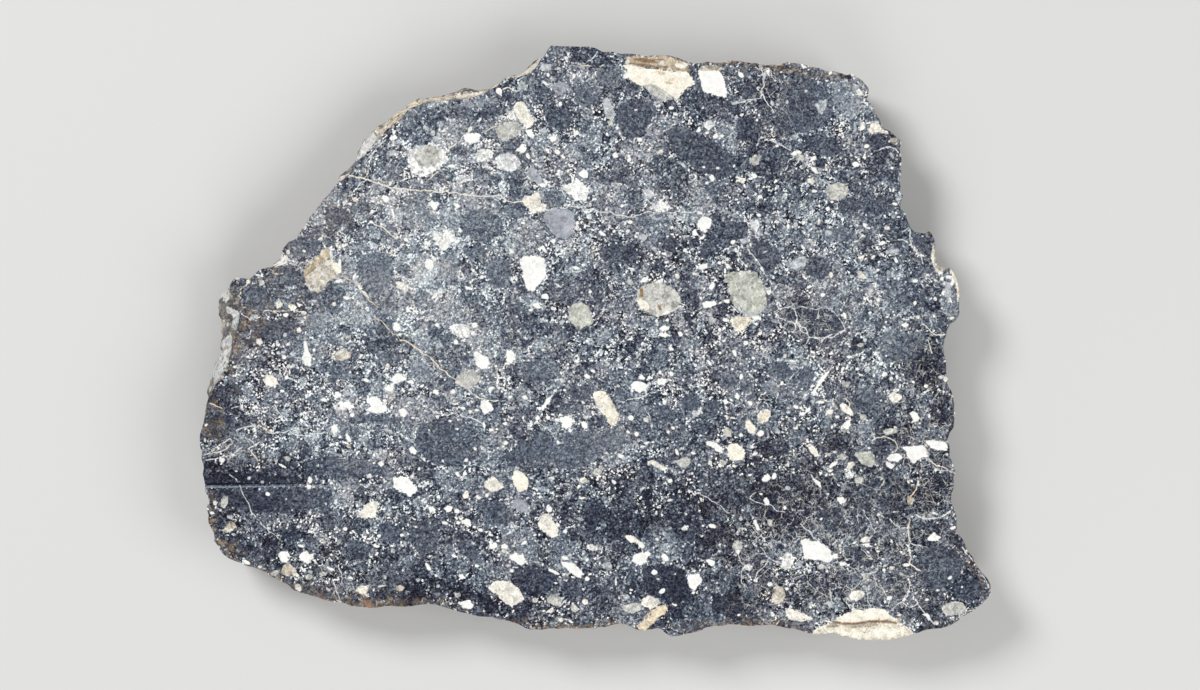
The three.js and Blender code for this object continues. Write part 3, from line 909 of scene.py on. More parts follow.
W 661,556 664,553 668,557 669,561 664,562
L 665,545,2.6,1.2,-50
W 626,558,1.1,.9,0
L 618,567,2,1.6,-20
L 607,566,5,4,20
W 651,572 654,569 658,571 657,574 653,575
W 675,574,1.2,1.1,0
W 658,579,1.9,1,20
W 658,592 661,589 665,588 665,592 661,594
W 631,590,1.9,1.4,0
W 616,582,1,4.4,0
W 687,578 690,574 699,574 703,579 701,583 697,587 694,592 690,588 689,583
C 694,571,1.7,1.4,0
W 706,560 709,559 716,562 714,566 710,566
L 714,570,1.8,1.2,0
S 748,567,4.4,3,0
W 717,583,1.5,1.2,0
B 732,545 735,540 742,541 743,547 738,550 733,549
W 738,552,1.8,2.8,0
S 781,558 785,554 793,553 795,558 792,566 786,570 781,568 782,563
T 790,557,1.6,1.3,0
W 784,564,2.6,3,0
W 770,584,2.6,2.4,0
L 749,581,1.6,1.2,0
P 773,588 778,585 783,588 786,596 782,602 776,605 772,600
W 787,589,2,2,0
C 784,612 788,608 795,610 803,614 812,617 812,620 800,622 790,620
C 641,604 643,598 649,596 656,598 660,601 658,607 651,609 644,607
B 621,606 628,604 636,603 641,607 640,611 632,614 624,611
L 627,597,3.4,2.6,0
Y 637,625 643,621 645,615 652,611 660,605 666,605 668,609 664,615 658,617 656,622 650,626 645,631 639,629
T 649,616,3.6,1.6,-45
W 675,605,2.4,1.2,10
W 636,571,1.2,1,0
L 600,549,2,2,0
C 619,598,1.2,1.6,0
W 749,540,1,1,0
C 773,615,2,2,0
L 722,595,1.4,1.2,0
W 792,584,1.2,.8,0
W 712,600,1,1,0
C 739,615,2.4,1.4,0
W 836,497 843,497 847,500 845,503 840,504
L 815,514,2.2,1.1,0
W 828,494,1.3,1.1,0
T 908,495 912,497 915,499 913,504 909,506 907,501
C 913,501,1,2.6,20
W 926,539 930,535 934,532 941,537 938,541 930,541
W 953,528,3.6,1.8,-10
C 859,541 864,537 870,537 869,542 862,543
W 867,545,2.6,2,0
W 854,543,2,1.5,0
L 850,537,1.8,1.6,0
W 801,540 806,538 811,541 819,541 825,545 830,550 833,558 831,562 826,563 821,560 812,560 804,559 803,551
W 835,556,2.8,2.8,0
W 843,564,4,1.8,0
W 868,552,1.8,1,40
W 883,559,1.8,1.4,0
W 906,565,4,1.8,0
T 892,568,3.4,2.2,0
C 884,570,2,1.8,0
B 822,567,5,2.6,0
W 827,571,1.9,1.6,0
W 950,578,2.8,1.6,-40
W 962,572,1,1,0
W 962,587,1.3,1.2,0
L 914,587,1.9,1.6,0
L 833,589,1.6,1.3,0
C 849,597 852,592 858,590 864,592 863,598 857,601 852,600
L 825,603 829,601 832,604 834,607 830,608
W 811,633 818,627 829,624 840,616 849,612 855,609 862,610 869,608 880,609 886,609 891,616 897,620 904,625 911,630 920,637 907,642 888,645 860,645 840,642 820,640
B 942,606 950,602 960,602 967,607 966,612 958,615 948,616 942,612
W 928,617,4.6,1.2,70
W 926,615,4,1.2,10
C 927,600,2.4,1.8,0
W 890,598,3.4,2,-20
C 936,623,3,2,0
W 885,602,1.6,2,0
W 821,519,1.6,1.4,0
W 861,527,1.4,1,20
W 852,523,1.4,1,30
L 844,516,1.4,1,0
W 894,512,1.5,1,0
W 949,548,1.2,1.2,0
C 899,615,3,1,-10
L 840,576,1.6,1,0
W 934,513,2.6,1.4,20
L 930,565,1,1,0
C 868,580,1.6,1.6,0
L 391,153,5,2.6,0
W 393,138,4.2,2.2,-10
L 389,165,2.6,2.2,0
L 396,171,2,1.2,0
L 364,171,3,2.6,30
T 698,70 703,66 715,65 727,68 724,70 703,71
V 811,633 818,627 829,624 840,616 849,612 855,609 862,610 869,608 880,609 886,609 891,616 897,620 904,625 911,630 920,637 907,642 888,645 860,645 840,642 820,640
M 818,630 834,624 850,628 870,626 890,623 904,626 912,632 920,637 907,642 888,645 860,645 840,642 820,640
T 826,626 834,620.5 845,623 853,624 862,623 870,622 880,620.5 890,619.5 899,619.5 902,622.5 890,623.5 880,624.8 870,626.6 860,627.8 850,628 840,626.5 830,627.5
V 838,632 856,633 874,630 892,628 906,631 896,636 876,637 856,638 842,637
T 933,249 936,249 937.5,262 941,267.5 948,266.5 948,269.5 940,271 935,266
M 950,267 956,272 959.5,282 960.5,296 957.5,304 957,296 955.5,283 950,272
L 945,280 950,284 952,294 948,300 945,292
W 941,276 944,277 943,281 940,280
W 951,276 954,279 954,284 952,283
W 943,289 945,291 944,296 941,294
U 627,57 640,55.5 655,57 668,56 678,60 688,64 690,70 683,71.5 671,70 655,68 640,65.5 625,63.5
Q 630,62.5 645,64 658,66.5 668,66 668,67.6 656,68 644,66 630,64
Q 640,57.5 652,59.5 664,59 664,60 652,60.6 640,58.6
V 623,64 634,66 650,68.5 665,70.5 676,71.5 686,71 692,77 694.5,84 688,88 681,92 679,98 672,100 664,99 656,95 648,90 641,86 635,83 630,80 628,73
B 642,86 648,84 656,85 662,89 668,93 674,97 672,100 664,100 656,97 648,91
Y 652,72 659,71 666,73 664,75 657,74.5
Y 669,79 673,77 676,80 672,83 668,82
U 664,81.5 673,82.5 672,84 664,83.2
U 303,270 310,262 320,254 325,248 330,246 331,256 326,261 318,266 304,276
P 305,276 318,266 326,261 332,258 337,263 341,271 336,277 328,282 322,290 318,293 311,291 306,285
Q 303.5,276.6 311,271 317,266.6 317.2,267.2 311,271.8 304.2,277.4
V 330,258 336,262 341,268 341,272 337,275 334,269 331,264
X 329,247 332.5,245 333,257 330,259
B 640,289 646,286 655,284 663,284 670,288 677,292 680,300 678,307 672,310 664,313 656,316 647,313 641,308 638,302 637,295
V 637,302 640,299 646,301 650,307 648,312 642,309
C 656,315.2 664,312.3 672,309.5 678,305.5 679,308 672,312 664,315 657,317
R 640,289 643,288 643.5,297 639,297.5
R 658,305 661,304.5 661,310 658.5,310
R 647,311.5 650,312 650,315 647.5,314
O 724,276 729,273 735,271 741,272 749,271 757,275 760,280 765,288 766,294 765,301 767,305 762,309 758,313 752,315 746,313 740,308 735,303 730,299 731,293 729,286 726,280
L 731,301.5 736,306 743,310.5 749,314.5 757,313.5 763,308.5 767,305.5 763,311 756,316 748,317 741,312.5 734,307
M 730,320 734,317 742,316 750,317 752,320 747,326 741,332 737,331 733,326
W 753,317 760,317 759,320 754,320
S 432,232 452,231 456,239 449,247 440,249 435,244
W 441,247 447,245 448,249 441,250
W 455,239 460,240 459,243 455,243
W 424,246 428,245 428,250 424,249
S 449,326 458,323 468,325 472,331 469,337 458,337 452,333
W 471,323 477,322 478,326 473,329
W 471,331 475,331 475,335 471,335
L 434,345 440,342 443,346 438,349
O 568,311 573,304 580,302 588,305 592,315 593,324 586,326 578,330 574,325 569,320
G 543,214 550,210 560,208 572,211 575,220 573,232 568,238 556,237 550,231 545,223
C 523,198 530,195 539,193 540,203 546,205 545,211 534,213 525,206
W 521,258 524,256 536,256 545,258 546,268 545,277 540,283 534,290 528,290 525,281 522,270
W 474,351 478,351.5 482,355 488,358.5 490,364 487,369 481,369.5 476,366 476,360 473,354
W 506,351 512,351 516.5,355 515,358 512,363.5 508,363 506,358
W 481,401 487,399 491,404 493.5,409 488,412.5 484,414.5 480,407
W 559,417 570,416 572,420 571,427 566,429.5 562,425 560,421
W 580,421 586,422 588,428 584,429.5
M 598,396 602,390.5 606,393 611,401 616,408 619,415 617,423 612,426.5 607,420 603,411
V 600,397 604,394 609,402 613,410 616,416 614,422 609,416 604,407
C 485,482 489,478 496,477.5 500,482 502,488 496,492 487,490 484,486
V 512,477 514,471 518,470.5 525,475 529,483 527,490 520,492 514,486
W 393,478 402,476.5 410,480 418,488 415,493 410,497.5 404,492 397,488
W 367,398 376,397.5 380,401 385,404 384,409 378,414 372,413 367,409 371,406 366,402
W 391,378 396,374 402,375.5 400,381 394,384
W 384,389 388,384 393,386 393,390 390,392
V 727,449 729,445 737,443.5 742,446 744,451 746,453 743,459 737,460.5 731,459 727,455
W 706,443 711,441 717,443 722,448 722,453 718,451 713,447 707,445
M 758,417 762,411 769,411 771,416 767,422 760,424 757,421
V 746,421 750,419.5 752,424 757,430 755,434 750,434 746,428
W 631,384 636,381 643,382 648,386 646,391 640,393 635,391
W 655,381 662,378 667,380 664,384 658,385
B 676,461 682,457 688,458 691,463 685,468 679,466
C 647,464 653,460 660,464 668,468 664,471 657,468 652,464 648,466
X 693,413 701,408 702,411 698,416 694,417
B 417,150 424,145 433,145 441,149 443,157 437,164 428,168 419,165 414,158
S 562,186 568,184 573,183 577,178 583,183 589,190 588,196 582,200 576,200 571,195 565,191
Q 632,59 640,58 652,60 660,63 652,63.5 640,61.5
V 676,62 682,64 686,68 681,68.5 675,66
W 340,258 341.5,262 341,268 338,266 338.5,261
C 357,586 362,585 368,585 366,594 358,592
T 283,566 288,562 292,566 296,574 294,576 287,575 281,573
W 278,555 282,551 287,554 290,560 286,563 280,560
W 299,555 304,551 310,556 311,562 305,563 300,560
T 226,526 232,522 236,525 233,531 225,533 221,532
Q 832,620.5 846,622.5 858,622 870,620 884,620 896,622 897,624 884,622.4 870,622.4 858,624.6 846,625 832,622.5
"""
# Clasts and crusts that show on the natural flank only.
FLANK_MARKS = """
V 352,178 346,170 352,158 362,140 372,126 386,114 402,102 412,104 396,126 380,146 366,166
Y 384,106 402,98 414,100 404,112 392,122 378,130 370,128 378,120
U 380,128 390,120 402,112 406,116 394,126 382,136 374,140
R 389,116,3.4,2.2,-30
R 381,127,2.8,2,-30
R 396,108,2,3,20
X 352,160 356,144 361,137 369,128 378,134 370,148 358,166 348,170 344,166
P 340,160 352,158 352,172 340,176
X 334,184 338,170 348,170 344,182 336,186
Y 402,104 413,92 426,92 440,91 452,88 452,100 436,102 420,106 408,112
O 408,98 416,94 428,96 428,100 414,102
O 432,95,4,2,0
U 440,94 450,91 465,88 485,87 490,92 487,98 470,99 455,102 442,102
V 452,93 466,90 482,90 486,94 470,96 456,98
R 466,92,5,1.4,-10
P 488,86 505,74 522,66 538,56 551,44 553,51 543,62 528,75 505,84 492,92
V 500,80 514,71 526,66 524,70 512,76 502,83
R 545,52,2.6,2,-30
U 512,75,4,1.6,-30
W 267,266 274,259 281,251 287,255 290,262 286,265 276,267
W 298,230 304,222 310,213 314,207 317,209 312,217 305,226 300,231
X 320,204 326,196 332,190 336,192 328,202 322,208
W 249,279 257,270 259,272 252,281
R 235,277,3,2,0
N 240,282 248,276 262,268 268,270 256,280 246,286
E 214,289 222,286 229,287 229,300 222,303 216,298
E 210,303 218,303 228,306 236,310 241,313 239,330 233,331 231,316 222,309 211,308
E 216,319 224,318 224,328 217,328
E 225,319 231,319 231,327 226,327
E 217,328 220,328 220,336 217,336
E 214,341 222,338 228,331 231,333 232,342 231,350 229,358 229,364 225,369 221,374 218,382 215,384 212,380 208,381 206,375 209,366 211,356 213,347
E 205,392 206,384 211,382 210,392
E 202,400 203,392 207,392 206,400
"""
# Smooth rock fragments of the face: tone, then a polygon. The row from 204,474 to 204,483.5 is not a fragment but
# painted shade: a dark strip just above the saw step.
FRAGMENTS_AND_STEP_SHADE = """
-.75 425,112 437,104 455,104 480,110 497,103 507,108 505,116 480,120 450,120 425,119
-.8 500,84 506,81 514,81 520,84 517,88 507,89
-.55 497,97 508,91 519,93 520,98 510,101 499,101
-.7 534,88 545,84 552,92 556,103 545,106 535,98
-.5 545,110 558,106 571,111 573,122 562,130 549,127
-.6 452,146 462,143 469,148 466,156 456,157 449,152
.15 401,108 410,104 417,112 415,124 405,130 400,122
-.15 572,88 585,82 598,90 600,104 588,110 574,103
.3 455,102 480,97 500,98 500,104 480,108 460,109
-.25 665,128 675,125 690,128 700,134 712,139 722,146 730,154 738,164 738,172 728,178 714,178 702,174 690,166 678,157 671,147 667,138
-.8 650,158 660,154 672,158 684,168 692,182 692,196 678,200 664,202 652,192 648,174
-.75 680,92 690,88 700,92 712,96 725,99 735,101 742,110 736,118 722,120 705,118 690,115 683,108
-.5 620,104 634,98 648,101 658,108 652,120 642,136 630,140 620,130 614,118
-.65 737,120 750,115 764,120 765,134 755,142 740,140 735,130
-.6 738,86 752,81 761,90 757,101 744,99 737,93
-.55 772,118 785,112 799,118 800,132 788,138 775,133
0 598,68 612,66 622,73 620,84 606,90 596,82
-.3 782,84 796,76 812,78 826,86 834,100 832,116 822,128 806,134 792,128 784,112 780,98
.4 828,84 845,80 860,88 864,100 858,115 848,120 838,112 832,98
-.5 866,134 880,134 892,136 888,145 875,150 864,144
-1 858,173 865,172 869,178 866,185 859,185
-.5 805,136 820,134 835,138 845,148 838,156 820,155 806,148
-.35 243,288 255,283 268,290 276,300 272,312 258,314 245,306 240,296
.35 305,318 312,311 322,310 330,315 333,325 327,334 315,336 307,330
-.55 275,269 288,267 301,270 303,280 292,288 278,284
-.5 250,320 265,322 285,318 303,322 305,333 290,340 268,340 252,334
-.35 356,258 370,252 388,256 395,270 390,290 375,298 362,285 356,272
-.4 326,208 340,206 352,210 350,222 338,230 325,226
-.35 285,240 300,236 322,240 325,248 312,256 296,258 286,252
-.65 458,225 465,212 478,208 494,212 503,222 502,234 490,241 475,240 463,236
.1 438,256 455,252 461,265 456,280 443,282 437,270
-.75 461,293 467,290 475,294 485,298 493,301 488,309 475,311 464,306
-.85 536,282 544,280 550,288 545,294 538,290
-.4 503,205 512,203 520,206 524,214 516,220 506,217
-.75 515,322 530,320 545,322 556,326 552,335 535,338 520,334
-.25 486,262 496,256 508,260 512,272 507,286 494,290 486,278
-.3 505,300 518,298 525,306 518,316 506,314
-.6 545,194 556,190 566,194 568,203 560,208 550,207 544,202
-.35 463,248 478,245 490,250 488,258 474,260 464,256
.2 462,203 474,200 482,206 476,210 465,209
-.75 622,192 634,186 642,194 645,208 638,214 628,208
-.95 655,190 690,188 699,197 687,207 672,204 660,198
-.5 720,226 730,221 745,223 750,230 745,238 733,240 722,234
-.55 699,246 706,241 716,242 720,250 714,257 703,257
-.5 750,243 765,241 778,247 782,258 775,270 765,275 757,262
-.5 600,248 615,243 630,245 640,255 632,264 615,266 602,260
-.95 720,284 728,285 730,296 724,300 719,292
-.8 780,312 788,308 794,312 793,325 788,330 781,324
-.3 660,240 670,236 678,244 674,254 664,252
.15 630,216 645,214 655,220 648,228 635,226
-.5 838,203 850,196 866,200 880,195 897,198 897,210 880,212 865,212 850,214 838,212
.15 820,228 840,224 855,230 858,240 840,242 822,240
-.7 858,247 864,245 868,250 864,254 858,252
-.4 911,235 920,233 930,245 932,258 925,256 915,247
-.4 806,262 820,258 832,262 835,274 820,280 806,276
-.6 826,288 836,284 840,292 833,298 826,295
-.8 922,282 930,280 936,288 934,298 925,298 921,290
-.45 938,290 943,289 946,295 943,300 938,299
-.5 908,324 918,321 924,326 916,330 908,329
-.1 880,333 900,331 925,333 930,340 905,344 885,343
-.35 934,318 944,317 950,323 944,328 936,326
-.7 216,388 230,382 242,386 240,398 225,402 214,398
-.55 206,415 218,410 232,414 238,425 228,436 212,440 203,432
-.3 300,462 330,456 370,460 395,466 385,477 350,478 315,476
-.45 355,412 375,416 400,418 402,424 375,424 352,424
-.4 375,352 390,348 402,354 398,364 382,364
-.6 420,425 440,417 462,420 478,430 482,445 478,458 462,466 440,466 425,458 415,445 414,432
-.65 510,425 518,421 526,428 527,438 519,441 510,435
-.35 505,455 520,440 545,432 575,432 600,430 610,445 600,460 575,470 545,470 520,466 508,465
-.95 527,470 545,467 565,470 580,468 583,474 565,480 545,480 530,478
-1 541,483 547,479 552,484 549,490 543,489
-.1 520,362 535,357 552,358 560,366 558,378 545,384 528,382 520,374
-.95 583,364 588,361 594,363 594,368 587,369
-.95 590,375 596,373 600,377 598,380 592,379
.25 405,362 420,358 432,368 438,378 425,384 408,376
-.6 463,346 472,345 474,352 466,354
-.45 570,388 585,385 592,392 590,402 575,402 568,396
-.15 560,402 575,400 585,406 582,414 568,415 560,410
-1 682,362 689,358 696,360 699,368 697,378 692,385 684,384 681,375
-1 704,343 706,335 712,331 717,335 716,343 709,347
-.8 705,348 716,348 722,357 718,366 708,358
-.85 600,376 606,374 613,380 615,388 610,394 602,392
-.8 664,344 672,342 680,345 675,349 666,348
-.7 690,425 700,419 712,422 716,432 706,438 695,433
-.8 685,445 698,437 708,447 706,456 694,458 684,452
-.15 741,382 747,377 753,382 753,392 746,396 740,391
-.5 762,366 772,360 788,362 794,372 785,380 770,374
.15 763,383 772,380 780,386 778,396 768,397 762,391
-.45 701,405 709,399 719,404 719,414 710,420 702,416
-.9 630,452 637,447 641,456 636,463 629,460
-.3 720,374 735,370 740,382 733,392 720,388
-.45 683,395 695,392 702,400 698,412 686,410 680,402
-.2 600,428 618,426 628,440 620,452 605,450
.1 620,402 640,400 650,408 645,416 628,414
-.35 655,405 670,404 676,414 668,424 655,420
-.15 880,342 900,340 925,342 924,354 905,362 885,364 878,352
-.3 855,390 868,386 880,392 885,402 870,405 856,402
-.95 902,387 909,387 911,396 905,400 901,394
-.9 880,402 888,402 894,412 896,420 886,420 882,412
-.5 846,400 866,400 880,408 878,420 862,412 848,408
-.75 822,436 840,434 856,438 860,448 845,454 828,450
-.6 870,444 880,441 885,450 880,458 872,455
-.9 865,470 874,468 877,475 870,480 864,476
-.5 922,475 938,472 950,476 952,488 935,492 922,486
-.6 930,404 946,402 952,415 948,428 936,425 928,414
-.35 798,368 815,366 814,380 806,392 797,392
-.7 222,538 240,534 254,543 256,555 240,558 226,550
-.6 321,500 330,502 336,515 332,530 324,533 319,518
-.5 280,526 295,524 303,532 298,541 283,538
-.95 344,546 352,548 357,560 353,570 347,564 342,556
-.2 346,538 358,540 370,550 368,560 358,560 348,550
.1 302,540 308,536 315,540 316,550 308,552 302,548
-.5 376,526 390,522 402,530 400,544 385,544 377,536
-.55 285,585 300,583 320,588 335,594 325,598 300,592
-.5 370,590 385,588 397,594 395,602 378,600
-.55 512,572 525,565 545,566 555,578 550,592 535,596 520,590 513,580
-.25 558,583 575,580 584,590 578,598 564,594
-.8 430,580 450,580 470,584 470,596 455,592 438,594 428,588
-.55 458,540 468,540 478,548 479,560 470,560 461,552
-.5 410,522 430,518 440,530 438,552 420,556 408,540
-.3 478,502 500,500 512,508 520,520 500,528 482,520
-.6 478,592 488,594 498,604 500,614 488,610 478,606
-1 565,510 572,507 577,512 570,517
-.95 537,503 543,503 544,508 538,509
-.9 541,558 550,557 552,563 545,566
-.6 584,500 600,497 604,512 600,528 588,536 582,520
-1 711,550 718,546 728,547 735,552 736,559 728,560 716,556
-.9 741,546 747,546 749,552 743,553
-.55 645,566 665,564 685,570 690,590 695,600 675,604 655,598 640,590
-.55 712,592 730,592 745,600 748,618 730,620 712,610
-.6 668,608 678,606 686,612 684,620 672,622
-.6 748,545 756,546 760,553 755,560 748,556
-.55 842,548 860,546 876,552 880,562 865,568 850,565
-.6 800,575 825,572 848,578 845,592 820,600 800,598
-.25 918,548 935,545 955,548 965,560 960,580 940,590 922,588 914,570
-.55 950,585 970,575 982,585 984,596 970,602 955,598
-.7 882,575 898,572 908,584 905,598 888,594
-.7 900,608 912,606 918,614 910,620 898,616
-.3 805,505 830,502 860,510 868,528 850,536 820,530
-.7 836,568 850,570 852,580 840,580
-.6 880,495 900,498 905,515 890,520 876,512
-.95 674,510 679,509 682,513 679,517 674,516
-.5 785,500 799,502 802,520 800,540 790,536 784,518
-.4 915,520 935,522 948,526 940,532 922,530
-0.35 212,490 250,489 300,488 332,489 334,500 316,510 285,514 252,512 228,506 214,498
-0.45 204,474 230,472 262,472 296,475 310,480 300,484 260,483.5 204,483.5
-0.5 786,312 796,306 812,306 826,308 838,314 846,322 848,334 838,344 822,346 806,344 796,334 788,324
"""
# Hair veins: width, colour, line. The rows of kind k and b are not veins: along the saw step, k is a painted shadow
# line in its groove and b a painted highlight line on its lit edge.
VEINS_AND_PAINTED_STEP_LIGHT = """
1.3 c 349,175 358,177 368,180 378,184 390,187 400,189 415,190 430,191 440,192 455,193 470,196 485,196 500,195 505,199 512,202 522,202
.9 w 541,207 548,210 556,208 564,207 570,206 580,208 590,210 600,212 610,212 616,215 624,216 634,217 645,213 650,212 660,213 672,212 690,212 700,212
.6 o 341,276 350,279 357,283 361,290 367,297 373,303 377,308
.7 o 371,321 375,318 382,322 387,327 391,333 398,336 400,341
1.4 o 400,341 407,342 413,345 419,349 424,354 431,358 435,363 440,369 445,371
.9 c 445,371 450,376 455,380 462,384 468,389 472,394 480,398 486,401 498,401
1.1 c 371,222 376,225 382,227 386,230 391,234 396,238
.8 w 236,430 245,428 258,426 264,428 268,431 272,433 281,432 290,432 297,435 305,436 315,434 325,432
1.3 o 258,426 264,428 268,431 271,433
0.54 w 230,474 237,480 241,490 248,502 252,513 258,519 264,527 270,532 276,536 282,542
.8 c 205,455 214,453 222,452 228,447 233,443
.7 w 206,460 218,458 224,456
1.0 w 249,450 254,444 259,442
.9 o 249,450 254,456 258,461
.7 w 214,448 222,443 230,438
.7 w 245,438 252,441 256,446
.6 w 225,458 232,455 240,447
.9 o 208,403 214,405 222,409
1.2 c 794,308 796,318 795,328 792,332
1.1 w 800,325 806,331 810,336 820,340 832,337 842,331 850,327
.8 w 775,312 782,308 790,307
.7 w 788,331 782,327 778,320
1.0 w 910,231 910,240 911,245 917,252 921,257 923,264
.8 w 902,232 906,229 910,227
.9 w 898,240 903,239 906,242
1.0 c 922,324 930,330 936,335 946,334
.8 w 930,318 932,326
.9 c 928,340 930,348 932,353
.9 c 872,441 878,438 884,436 890,438 895,441 898,447 894,452
.9 c 929,459 937,465 944,467 952,472
1.2 o 917,483 916,490 909,497 908,504
1.4 c 910,519 908,527 909,540 909,548 910,557 909,563 915,567 921,570
1.3 w 916,515 922,518 931,519 938,518 944,516 951,512
.9 w 909,541 915,545 921,546
0.70 w 880,512 884,517
0.70 w 890,519 894,524 900,529 906,527
0.56 w 863,510 868,518 872,526 876,532 870,538
0.63 w 866,588 869,600 871,610
0.77 w 862,575 870,574 876,572
0.49 w 830,588 831,600 834,606
0.56 w 845,598 850,609
0.77 w 800,524 808,531 813,537 819,541
0.63 w 832,545 838,541
0.70 w 880,585 885,593 890,600 888,606
.9 w 910,582 909,590 906,597
0.77 w 893,608 898,604 902,602 910,607 917,605
1.0 w 917,600 922,610 928,618 934,624
.8 w 333,583 336,590 339,597 340,602
.7 w 338,567 342,575 342,583
1.0 w 565,618 573,622
0.84 w 761,547 766,556 770,558 781,564
0.70 w 770,558 765,566 758,572 755,580
.8 c 738,552 740,562 746,566
0.56 w 746,566 741,574 742,582 748,588
0.56 w 755,492 750,498 760,503 770,505 778,511 785,512
.5 w 700,493 712,501 722,506 728,513
1.0 w 757,88 762,94 768,104 774,112
1.0 c 760,62 763,72 764,85 761,95
.9 w 733,105 742,102 752,99 760,98
1.0 w 880,150 886,148 892,147 897,151 901,155
1.0 w 795,165 800,158 812,157
.8 w 785,170 790,160 797,153
.7 w 770,140 780,144 790,150 798,155
.8 w 366,162 372,154 379,146 385,140
.7 c 366,165 368,172 365,178
.7 w 357,189 361,183 366,180
.7 c 428,180 436,172 444,168
.8 c 441,152 449,149 456,144 463,137
.7 c 483,133 490,129 497,126
1.2 c 503,89 507,88 512,90 518,91
.8 w 585,63 590,60 595,56 598,52
.8 c 578,64 585,67 590,66
.6 w 616,401 622,402 630,399 640,397 655,392 665,390
1.1 w 470,418 476,421 482,422 485,425 484,430
.6 w 523,418 528,424 533,429
.5 w 538,422 546,428 553,434 557,441
.6 w 430,408 436,413 445,415 455,414 462,416 470,418
.7 w 287,378 292,379 300,380
.9 w 275,404 278,411 283,417
.6 w 240,395 241,402 242,408
.6 w 232,409 238,407 246,412
.5 c 250,320 256,318 261,317 265,311 280,311 292,311 303,312
.8 o 240,290 246,285 250,280
.7 c 240,313 245,317 250,319
.6 c 270,272 276,274 283,273
.8 w 736,250 739,258 746,266
.7 w 748,248 756,259 762,268 764,274
.8 c 845,398 850,404 847,410
.7 c 878,476 884,480 880,488
.8 w 828,467 838,460 846,452
.8 w 731,305 738,311 746,315 756,314
.6 w 644,408 650,416 652,428
.8 w 641,549 645,556 648,565
.6 w 700,395 706,399 712,397
1.2 n 626,65 640,67 655,65 670,67 688,71
.9 c 962,547 968,555 975,564 982,574 988,584 991,592 988,600
.9 n 958,548 964,558 972,568 980,580 984,590 982,598
.7 n 843,625.5 856,626.5 872,624.5 888,622
2.4 k 203,484.2 225,484.0 245,483.8
1.7 k 245,483.8 262,483.8 282,483.8
1.0 k 282,483.8 300,483.8 320,483.6
1.3 b 204,487.2 222,487.0 238,486.9
.8 b 238,486.9 262,486.7 285,486.4
.5 b 285,486.4 320,486.0 345,485.8
.35 b 345,485.8 365,485.6 392,485.8
.9 w 794,309 796,316 797,324 801,330 809,336
1.0 w 809,336 815,337 823,338 831,336 838,335 844,331
.7 c 809,336 808,341 806,343
.7 w 823,338 823,342
.6 w 801,306 812,309 822,308 832,309
.7 w 780,317 787,321 794,324
.6 w 832,309 837,316 842,322 845,331
"""
# Broad tone zones: middle, half axes, turn, tone. The last row, at 262 470, is painted shade that darkens the band just
# above the saw step.
TONE_ZONES = """
420 265 30 60 0 0.3
400 260 120 130 20 0.38
410 300 50 36 0 0.35
500 180 60 60 0 0.3
575 190 26 22 0 0.5
670 200 60 30 0 0.15
660 250 40 26 0 -0.45
870 308 34 30 0 0.45
900 310 20 40 0 0.3
848 100 24 20 0 0.35
335 385 18 12 0 0.4
446 104 36 8 -5 0.6
400 430 100 40 0 0.25
600 425 55 45 0 0.35
800 392 60 26 0 0.3
775 92 60 28 0 -0.45
350 190 30 26 0 -0.5
730 165 75 38 0 -0.35
680 510 125 36 0 -0.5
240 515 55 58 0 -0.7
400 585 120 26 10 -0.8
550 400 26 20 0 -0.35
500 600 105 34 0 -0.35
700 600 110 34 0 -0.5
800 540 190 100 0 -0.45
935 430 40 100 0 -0.9
820 460 60 40 0 -0.4
955 572 36 30 0 -0.1
215 430 20 60 0 -0.5
820 320 60 30 0 -0.3
262 470 66 12 0 -0.5
"""
# Where a fine net of cracks, rust or crust lies: kind, middle, half axes, turn, strength.
NET_ZONES = """
net 828 550 95 75 0 1.0
net 928 442 32 105 0 0.9
net 815 318 34 26 10 1.0
net 232 445 30 18 0 0.8
net 775 95 28 38 0 0.6
net 860 400 60 60 0 0.35
net 345 580 40 22 10 0.6
net 360 185 40 26 0 0.5
net 620 190 90 26 0 0.35
rust 236 335 9 50 0 0.9
rust 222 300 20 18 0 0.7
rust 213 425 10 24 0 0.9
rust 210 522 6 26 0 0.9
rust 745 627 60 6 0 0.9
rust 570 624 50 6 0 1.0
rust 345 598 60 8 8 1.0
rust 262 575 34 8 25 1.0
rust 228 545 16 8 35 1.0
rust 415 603 40 6 5 0.9
rust 285 285 48 40 0 0.3
rust 745 64 110 5 8 0.8
crust 745 60 125 14 10 1.0
crust 750 628 60 10 0 1.2
crust 570 626 55 8 0 0.9
crust 345 600 60 10 8 0.9
crust 975 590 30 60 0 0.8
dense 945 276 14 10 0 1.2
dense 640 125 150 60 0 0.2
dense 560 330 200 100 0 0.2
dense 680 505 110 30 0 -0.45
dense 257 515 45 40 0 -0.3
streak 645 510 95 28 0 1.0
streak 300 500 90 10 0 0.8
rust 246 326 16 26 0 1.0
rust 330 215 26 22 0 0.45
"""


def srgb(r, g, b):
    c = np.array([r, g, b]) / 255.0
    return np.where(c <= 0.04045, c / 12.92, ((c + 0.055) / 1.055) ** 2.4)


